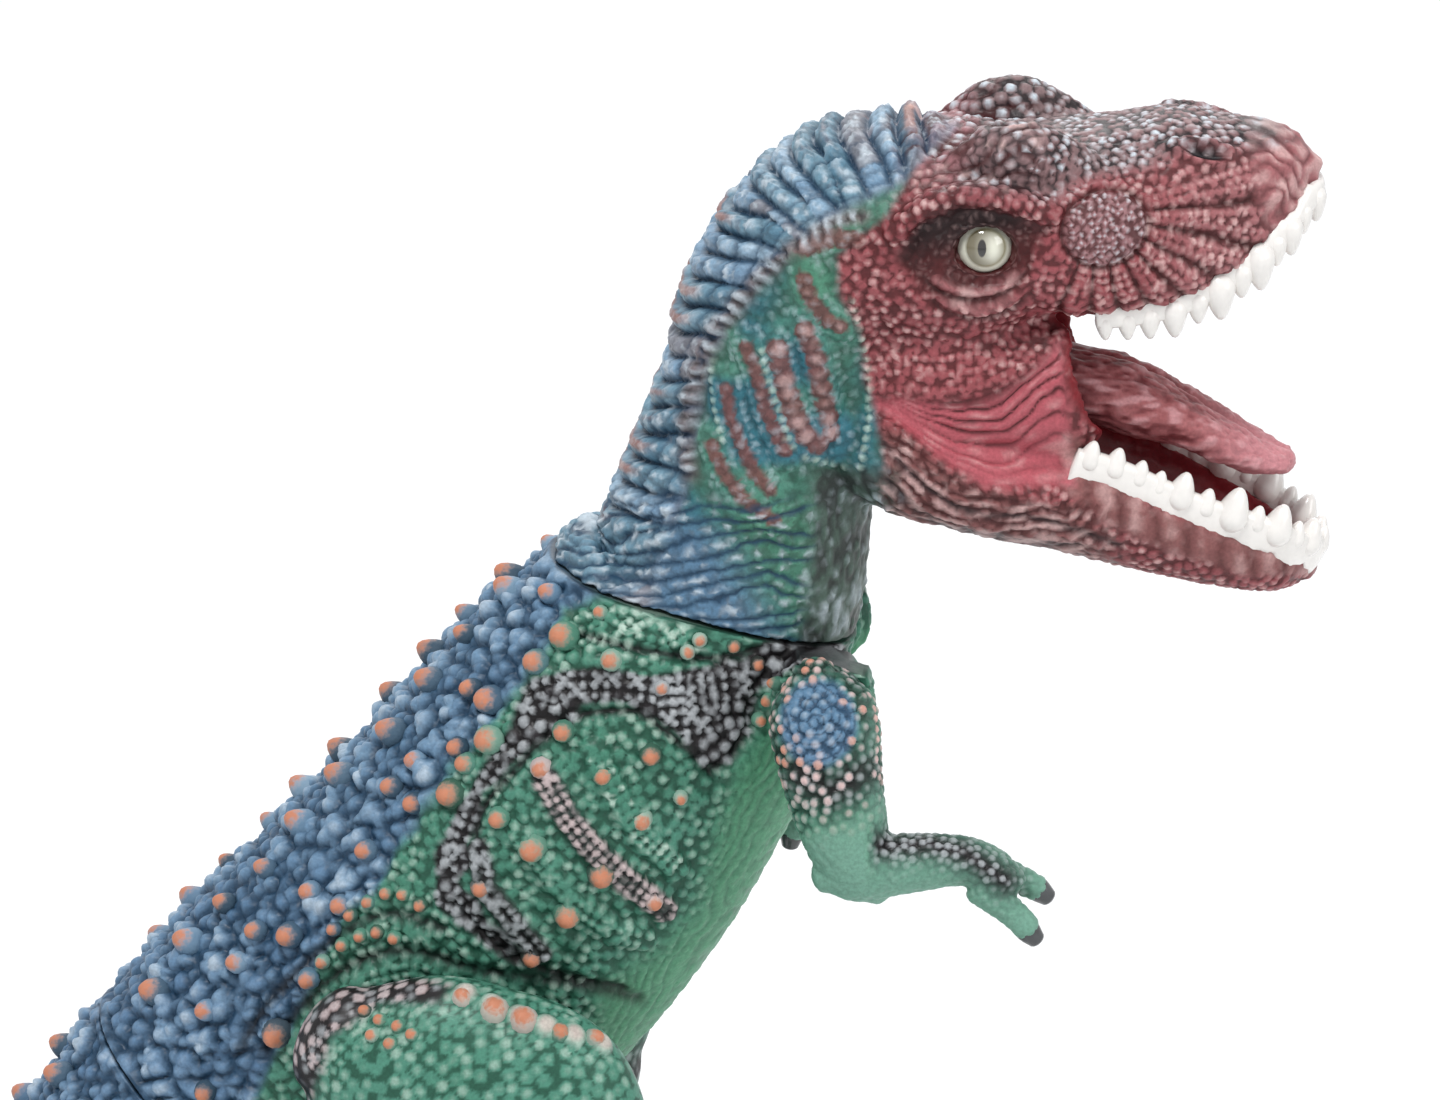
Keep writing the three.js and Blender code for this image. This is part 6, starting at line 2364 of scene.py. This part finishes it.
def backSpots(name, skin, paint):
    fine = smoothRows(bodySections, 1.0)
    _, above = spineFrames(fine)
    reach = np.concatenate([[0], np.cumsum(np.linalg.norm(np.diff(fine[:, :3], axis=0), axis=1))])
    first, last = (
        reach[np.argmin(np.linalg.norm(fine[:, :3] - jointPlane(joint, 0)[0], axis=1))] + shift
        for joint, shift in backSettings["spans"][name]
    )
    spots, spacing = [], backSettings["spacing"]
    for turn, shift, size in backSettings["rows"]:
        c, s = math.cos(math.radians(turn)), math.sin(math.radians(turn))
        for place in np.arange(first + shift * spacing, last, spacing):
            i = int(np.argmin(abs(reach - place)))
            direction = above[i] * c + np.array((0, s, 0))
            hit = hitOf(skin, fine[i][:3] + direction * backSettings["rayStart"], -direction)
            if hit:
                spots += studPair(hit, size * min(1, fine[i][4] / backSettings["slim"]), skin, paint)
    return spots


# Teeth

toothSettings = {
    "stripWidth": 3.9,
    "stripSides": 16,
    "stripPower": 0.6,
    "waves": ((0.22, 0.62), (0.12, 1.9)),  # shares of the strip's height, and radians per mm
    "pathStep": 0.8,
    "pathRounds": 6,
    "frontLiftX": (196, 216),
    "shape": {"radius": 3.2, "point": 0.9, "curl": 0.5, "sides": 16, "rings": 14},
    "curlTo": (-1.0, 0, 0),
    "rooted": 0.22,  # a share of the strip's height
    "inward": 0.06,
    "rows": {
        "lower": {
            "sections": jawSections,
            "power": squareness["jaw"],
            "startX": 172,
            "lip": 52,
            "rise": 68,
            "strip": 8.2,
            "frontLift": 2.0,
            "height": 3.1,
            "teeth": [
                (0.045, 0.8), (0.13, 0.82), (0.215, 0.72), (0.285, 0.66), (0.365, 1.0), (0.455, 0.76),
                (0.55, 1.16), (0.635, 0.72), (0.715, 1.1), (0.795, 0.72), (0.87, 1.0), (0.955, 0.76),
            ],
        },
        "upper": {
            "sections": muzzleSections,
            "power": squareness["muzzle"],
            "startX": 178,
            "lip": 140,
            "rise": -82,
            "strip": 5.4,
            "frontLift": 0,
            "height": 3.4,
            "teeth": [
                (0.03, 0.66), (0.11, 0.72), (0.19, 0.8), (0.28, 0.95), (0.37, 0.8), (0.46, 1.1),
                (0.55, 0.85), (0.635, 1.1), (0.715, 0.8), (0.79, 0.95), (0.865, 0.75), (0.95, 0.85),
            ],
        },
    },
}


# The line that a row of teeth follows inside its lip, round the front from side to side.
def lipCurve(row):
    fine = smoothRows(row["sections"], toothSettings["pathStep"])
    along, above = spineFrames(fine)
    turn, power = math.radians(row["lip"]), row["power"]
    c, s = math.cos(turn), math.sin(turn)
    c, s = math.copysign(abs(c) ** (2 / power), c), abs(s) ** (2 / power)
    keep = [i for i in range(len(fine) - 1) if fine[i][0] > row["startX"]]
    right = []
    for i in keep:
        x, _, z, half, up, down = fine[i]
        lift = row["frontLift"] * ramp(np.array(x), *toothSettings["frontLiftX"])
        right.append(np.array((x, -half * s, z + lift)) + above[i] * c * (up if c > 0 else down))
    tip = right[-1]
    front = np.array((tip[0], 0, tip[2])) + along[keep[-1]] * abs(tip[1]) * 0.5
    corner = tip + (front - tip) * (1, 0.25, 1)
    bend = [tip * (1 - t) ** 2 + 2 * t * (1 - t) * corner + front * t**2 for t in (0.3, 0.6)]
    half = right + bend + [front]
    path = np.array(half + [point * (1, -1, 1) for point in half[-2::-1]])
    for _ in range(toothSettings["pathRounds"]):
        path[1:-1] = 0.5 * path[1:-1] + 0.25 * (path[:-2] + path[2:])
    return path


# A rounded bar swept along a path: up is the way that its height runs, and a wave deepens it below.
def sweep(path, up, width, height, wave):
    count, power = toothSettings["stripSides"], toothSettings["stripPower"]
    turns = np.linspace(0, 2 * math.pi, count, endpoint=False)
    wide, high = (np.copysign(np.abs(f) ** power, f) for f in (np.cos(turns), np.sin(turns)))
    along = np.gradient(path, axis=0)
    across = np.cross(along, up)
    across /= np.linalg.norm(across, axis=1, keepdims=True)
    points = []
    for i, point in enumerate(path):
        for out, rise in zip(wide * width / 2, high * height / 2):
            points.append(point + across[i] * out + up * rise * (1 + wave[i] * (rise < 0)))
    faces = [tuple(range(count))[::-1]]
    for i in range(len(path) - 1):
        for k in range(count):
            a, b = i * count + k, i * count + (k + 1) % count
            faces.append((a, b, b + count, a + count))
    faces.append(tuple(range((len(path) - 1) * count, len(path) * count)))
    return np.array(points), faces


def toothRow(name, node, row, material):
    settings, path = toothSettings, lipCurve(row)
    turn = math.radians(row["rise"])
    rise = np.array((math.cos(turn), 0, math.sin(turn)))
    reach = np.concatenate([[0], np.cumsum(np.linalg.norm(np.diff(path, axis=0), axis=1))])
    wave = sum(share * np.sin(reach * turns) for share, turns in settings["waves"])
    strip = newObject(name, newMesh(name, *sweep(path, rise, settings["stripWidth"], row["strip"], wave)))
    outside = bmesh.new()
    outside.from_mesh(strip.data)
    bmesh.ops.recalc_face_normals(outside, faces=outside.faces)
    outside.to_mesh(strip.data)
    outside.free()

    def pointAt(length):
        return np.array([np.interp(length, reach, path[:, k]) for k in range(3)])

    spots = []
    for place, size in row["teeth"]:
        for at in (place / 2, 1 - place / 2):
            point = pointAt(at * reach[-1])
            ahead = pointAt(at * reach[-1] + 0.5) - point
            inward = np.cross(ahead, rise) * (1 if row["rise"] > 0 else -1)
            spots.append({
                "place": point + rise * row["strip"] * settings["rooted"],
                "outward": rise + settings["inward"] * inward / np.linalg.norm(inward),
                "curlTo": settings["curlTo"],
                "size": size,
                "basePaint": (1, 1, 1, 1),
            })
    shape = {**settings["shape"], "height": row["height"]}
    teeth = spikes(name + "Teeth", spots, shape, material)
    strip.data.materials.append(material)
    gather(strip.data, (strip.data, teeth.data))
    discard(teeth)
    fixTo(smoothShaded(strip), "head", node, material)


# The tongue, with a groove along it and rough buds.
tongueSettings = {
    "sections": (2.3, 1.5),
    "groove": {"depth": 0.9, "width": 1.3},
    "sideLine": [(1082, 337), (1150, 372), (1216, 430), (1262, 452)],
    "side": {"depth": 0.7, "width": 4, "paintWidth": 5},
    "budHeight": 0.9,
    "tipX": (198, 219),
    "rootX": (-186, -158),
}
tongueNoise = {
    "wide": (0.35, 1.7, 65, (0.45, 1, 1)),
    "fine": (0.35, 0.9, 66, (0.45, 1, 1)),
    "lump": (0.6, 4, 67, (0.45, 1, 1)),
}


def sculptTongue(skin):
    x, y, _ = skin.points.T
    settings, shake = tongueSettings, noises(skin.points, tongueNoise)
    top = ramp(skin.normals[:, 2], 0.1, 0.6)
    away, _, _ = lineField(skin.photo, settings["sideLine"])
    height = -settings["groove"]["depth"] * bell(y, 0, settings["groove"]["width"]) * top
    height -= settings["side"]["depth"] * bell(away, 0, settings["side"]["width"]) * (1 - top)
    dome = 0.5 + shake.wide + shake.fine
    height += settings["budHeight"] * (dome - 0.5) + shake.lump
    groove = bell(away, 0, settings["side"]["paintWidth"]) * (1 - top)
    # Darker between the buds and in the side groove, dark wash and painted shade, and darkest at the root,
    # deep in the mouth, as painted shade.
    coats = [
        ("tongueDark", (1 - ramp(dome, 0.2, 0.5)) * 0.8),
        ("tongueTip", ramp(x, *settings["tipX"]) * 0.75),
        ("tongueBud", ramp(dome, 0.55, 0.85) * 0.6),
        ("tongueRoot", ramp(-x, *settings["rootX"]) * (0.85 - 0.4 * ramp(dome, 0.5, 0.8))),
        ("tongueGroove", groove * 0.8),
    ]
    return height, painted(firstCoat(skin, "tongueRed"), coats)


# The eyes. The places on the eye's face are mm aside from the way it looks, and mm up.
eyeSettings = {
    "gaze": (-0.06, -0.985, 0.12),
    "segments": 96,
    "irisRadius": 4.3,
    "irisAside": -0.5,
    "pupilAside": 0.3,
    "pupilRadii": (0.9, 1.9),
    # a painted highlight to the left of the pupil
    "glint": {"aside": -2.3, "radii": (1.3, 2.6)},
    "shadeWidth": 8,
    "behind": 10,  # added where the eye's back is, so that no iris shows there
    "sclera": "#dcdccb",
    "iris": "#b4b1a2",
    "irisEdge": "#827c5e",
    "irisShade": "#5c5233",
    "pupil": "#15100f",
    "veinScale": 700,
    "roughness": 0.1,
    "coatRoughness": 0.03,
}


# An eyeball whose points hold how far they are from the middles of the iris and the pupil.
def eyeBall(name, flip):
    settings = eyeSettings
    middle = np.array(eyePlace) * (1, flip, 1)
    points, faces = ball(middle, (eyeRadius,) * 3, settings["segments"])
    thing = newObject(name, newMesh(name, points, faces))
    gaze = np.array(settings["gaze"]) * (1, -flip, 1)
    gaze /= np.linalg.norm(gaze)
    across = np.cross(gaze, (0, 0, 1.0))
    across /= np.linalg.norm(across)
    out = points - middle
    depth, wide, high = out @ gaze, out @ across, out @ np.cross(across, gaze)
    far = np.where(depth > 0, 0, settings["behind"])
    (wideReach, highReach), glint = settings["pupilRadii"], settings["glint"]
    fields = {
        "iris": np.hypot(wide - settings["irisAside"], high) / settings["irisRadius"] + far,
        "pupil": np.hypot((wide - settings["pupilAside"]) / wideReach, high / highReach) + far,
        "glint": bell(wide, glint["aside"], glint["radii"][0]) * bell(high, 0, glint["radii"][1]),
        "shade": 0.5 + wide / settings["shadeWidth"],
    }
    for key, values in fields.items():
        thing.data.attributes.new(key, "FLOAT", "POINT").data.foreach_set("value", values)
    return smoothShaded(thing)


def eyeMaterial(settings):
    material, tree, shader = newMaterial("eyeEnamel")
    iris, pupil, shade, glint = (
        attributeNode(tree, key).outputs["Fac"] for key in ("iris", "pupil", "shade", "glint")
    )
    white, ring, flesh, dim, black = (
        (*colour(settings[key]), 1) for key in ("sclera", "irisEdge", "iris", "irisShade", "pupil")
    )

    def layered(source, span, result, under, over):
        return mixNode(tree, "MIX", rangeNode(tree, source, span, result), under, over)

    veins = layered(noiseNode(tree, settings["veinScale"]), (0.55, 0.75), (0, 0.2), white, ring)
    disc = layered(iris, (0.5, 0.95), (0, 1), flesh, ring)
    disc = layered(shade, (0.3, 0.75), (0, 0.8), disc, dim)
    # The painted highlight, in the sclera's white.
    disc = mixNode(tree, "MIX", glint, disc, white)
    whole = layered(iris, (0.92, 1.05), (0, 1), disc, veins)
    whole = layered(pupil, (0.9, 1.1), (0, 1), black, whole)
    finish = {"Roughness": settings["roughness"], "Coat Roughness": settings["coatRoughness"]}
    setInputs(shader, {"Base Color": whole, "Coat Weight": 1.0, **finish})
    return material


clawLoft = {"hand": (2, 0.8, 24), "toe": (2, 1, 24)}


def clawPiece(name, parts):
    return smoothShaded(newObject(name, newMesh(name, *joined(parts))))


def toeClaw(angle):
    length = toeSettings["clawLength"]
    return toeSpine(angle, [
        (31, 4.6, 3.2, 3, 3.6),
        (36, 4.3, 3.0, 2.9, 3.4),
        (36 + length * 0.45, 3.2, 2.3, 2.2, 2.4),
        (36 + length * 0.8, 1.7, 1.3, 1.3, 1.2),
        (34 + length, 1.1, 0.6, 0.7, 0.6),
    ])


# How far the left arm hangs behind the right one, in degrees.
armSwing = 50


def armTurned(thing):
    shoulder = np.array(joints["left_shoulder"]["pos_m"])
    c, s = math.cos(math.radians(armSwing)), math.sin(math.radians(armSwing))
    turn = np.array([(c, 0, s), (0, 1, 0), (-s, 0, c)])
    moveVertices(thing.data, (verticesOf(thing.data) - shoulder) @ turn.T + shoulder)
    return thing


print("small pieces ready")

# The pieces on their bodies

vinyl = vinylMaterial("paintedVinyl", vinylSettings)
skins = {"head": head, "torso": torso, "tail": tail, "leg": leg, "arm": arm}
sculpted = {
    "head": sculptHead(head),
    "torso": sculptTorso(torso),
    "tail": sculptTail(tail),
    "leg": sculptLeg(leg),
    "arm": sculptArm(arm),
}


def skinPiece(piece, name):
    return finished(piece, skins[name], sculpted[name], castingSettings[name])


headSkin = skinPiece("headSkin", "head")
torsoSkin = skinPiece("torsoSkin", "torso")
tailSkin = skinPiece("tailSkin", "tail")
rightLegSkin = skinPiece("rightLegSkin", "leg")
leftLegSkin = mirrored(rightLegSkin, "leftLegSkin")
rightArmSkin = skinPiece("rightArmSkin", "arm")
leftArmSkin = armTurned(mirrored(rightArmSkin, "leftArmSkin"))
fixTo(headSkin, "head", "head_and_neck_shell", vinyl)
fixTo(torsoSkin, "torso", "torso_shell", vinyl)
fixTo(tailSkin, "tail", "tail_shell", vinyl)
for side, legSkin, armSkin in (("right", rightLegSkin, rightArmSkin), ("left", leftLegSkin, leftArmSkin)):
    fixTo(legSkin, side + "_leg", side + "_leg_shell", vinyl)
    fixTo(armSkin, side + "_arm", side + "_arm_shell", vinyl)
print("skins painted")

studVinyl = studMaterial(studPaint)
for name in ("torso", "tail"):
    skin, paint = skins[name], sculpted[name][1]
    spots = studSpots(skin, paint, [other for key, other in skins.items() if key != name])
    for spot in backSpots(name, skin, paint):
        gaps = [np.linalg.norm(spot["place"] - other["place"]) for other in spots]
        if all(gap > studSettings["apart"] for gap in gaps):
            spots.append(spot)
    fixTo(spikes(name + "Studs", spots, studSettings, studVinyl), name, None, studVinyl)
legSpots = studSpots(leg, sculpted["leg"][1], [torso, arm])
for side, flip in (("right", -1), ("left", 1)):
    spots = [spot for spot in legSpots if spot["place"][1] * flip > 0]
    studPiece = spikes(side + "LegStuds", spots, studSettings, studVinyl)
    fixTo(studPiece, side + "_leg", None, studVinyl)
print("studs set")

toothPlastic = plainMaterial("toothPlastic")
for name, row in toothSettings["rows"].items():
    toothRow(name + "Teeth", name + "_teeth", row, toothPlastic)
print("teeth set")

tongue = casting("tongue", ([loft(tongueSections, *tongueSettings["sections"])], (), ()), [])
tongueSkin = finished("tongueSkin", tongue, sculptTongue(tongue), castingSettings["tongue"])
fixTo(tongueSkin, "head", "tongue", vinyl)

eyeEnamel = eyeMaterial(eyeSettings)
for side, flip in (("right", -1), ("left", 1)):
    fixTo(eyeBall(side + "Eye", flip), "head", side + "_eye", eyeEnamel)
clawHorn = plainMaterial("clawHorn")
handClaws = [loft(onSide(claw, -1), *clawLoft["hand"]) for claw in clawSections]
toeClaws = [loft(toeClaw(angle), *clawLoft["toe"]) for angle in toeSettings["angles"]]
rightClaws = clawPiece("rightArmClaws", handClaws)
leftClaws = armTurned(mirrored(rightClaws, "leftArmClaws"))
rightToeClaws = clawPiece("rightToeClaws", toeClaws)
leftToeClaws = mirrored(rightToeClaws, "leftToeClaws")
fixTo(rightClaws, "right_arm", None, clawHorn)
fixTo(leftClaws, "left_arm", None, clawHorn)
fixTo(rightToeClaws, "right_leg", None, clawHorn)
fixTo(leftToeClaws, "left_leg", None, clawHorn)

mouldedSpool = plainMaterial("mouldedSpool")
for name, node in frame["nodes"].items():
    if "spool" in name:
        node.data.materials.clear()
        node.data.materials.append(mouldedSpool)
print("eyes, tongue and claws set")

print("done")
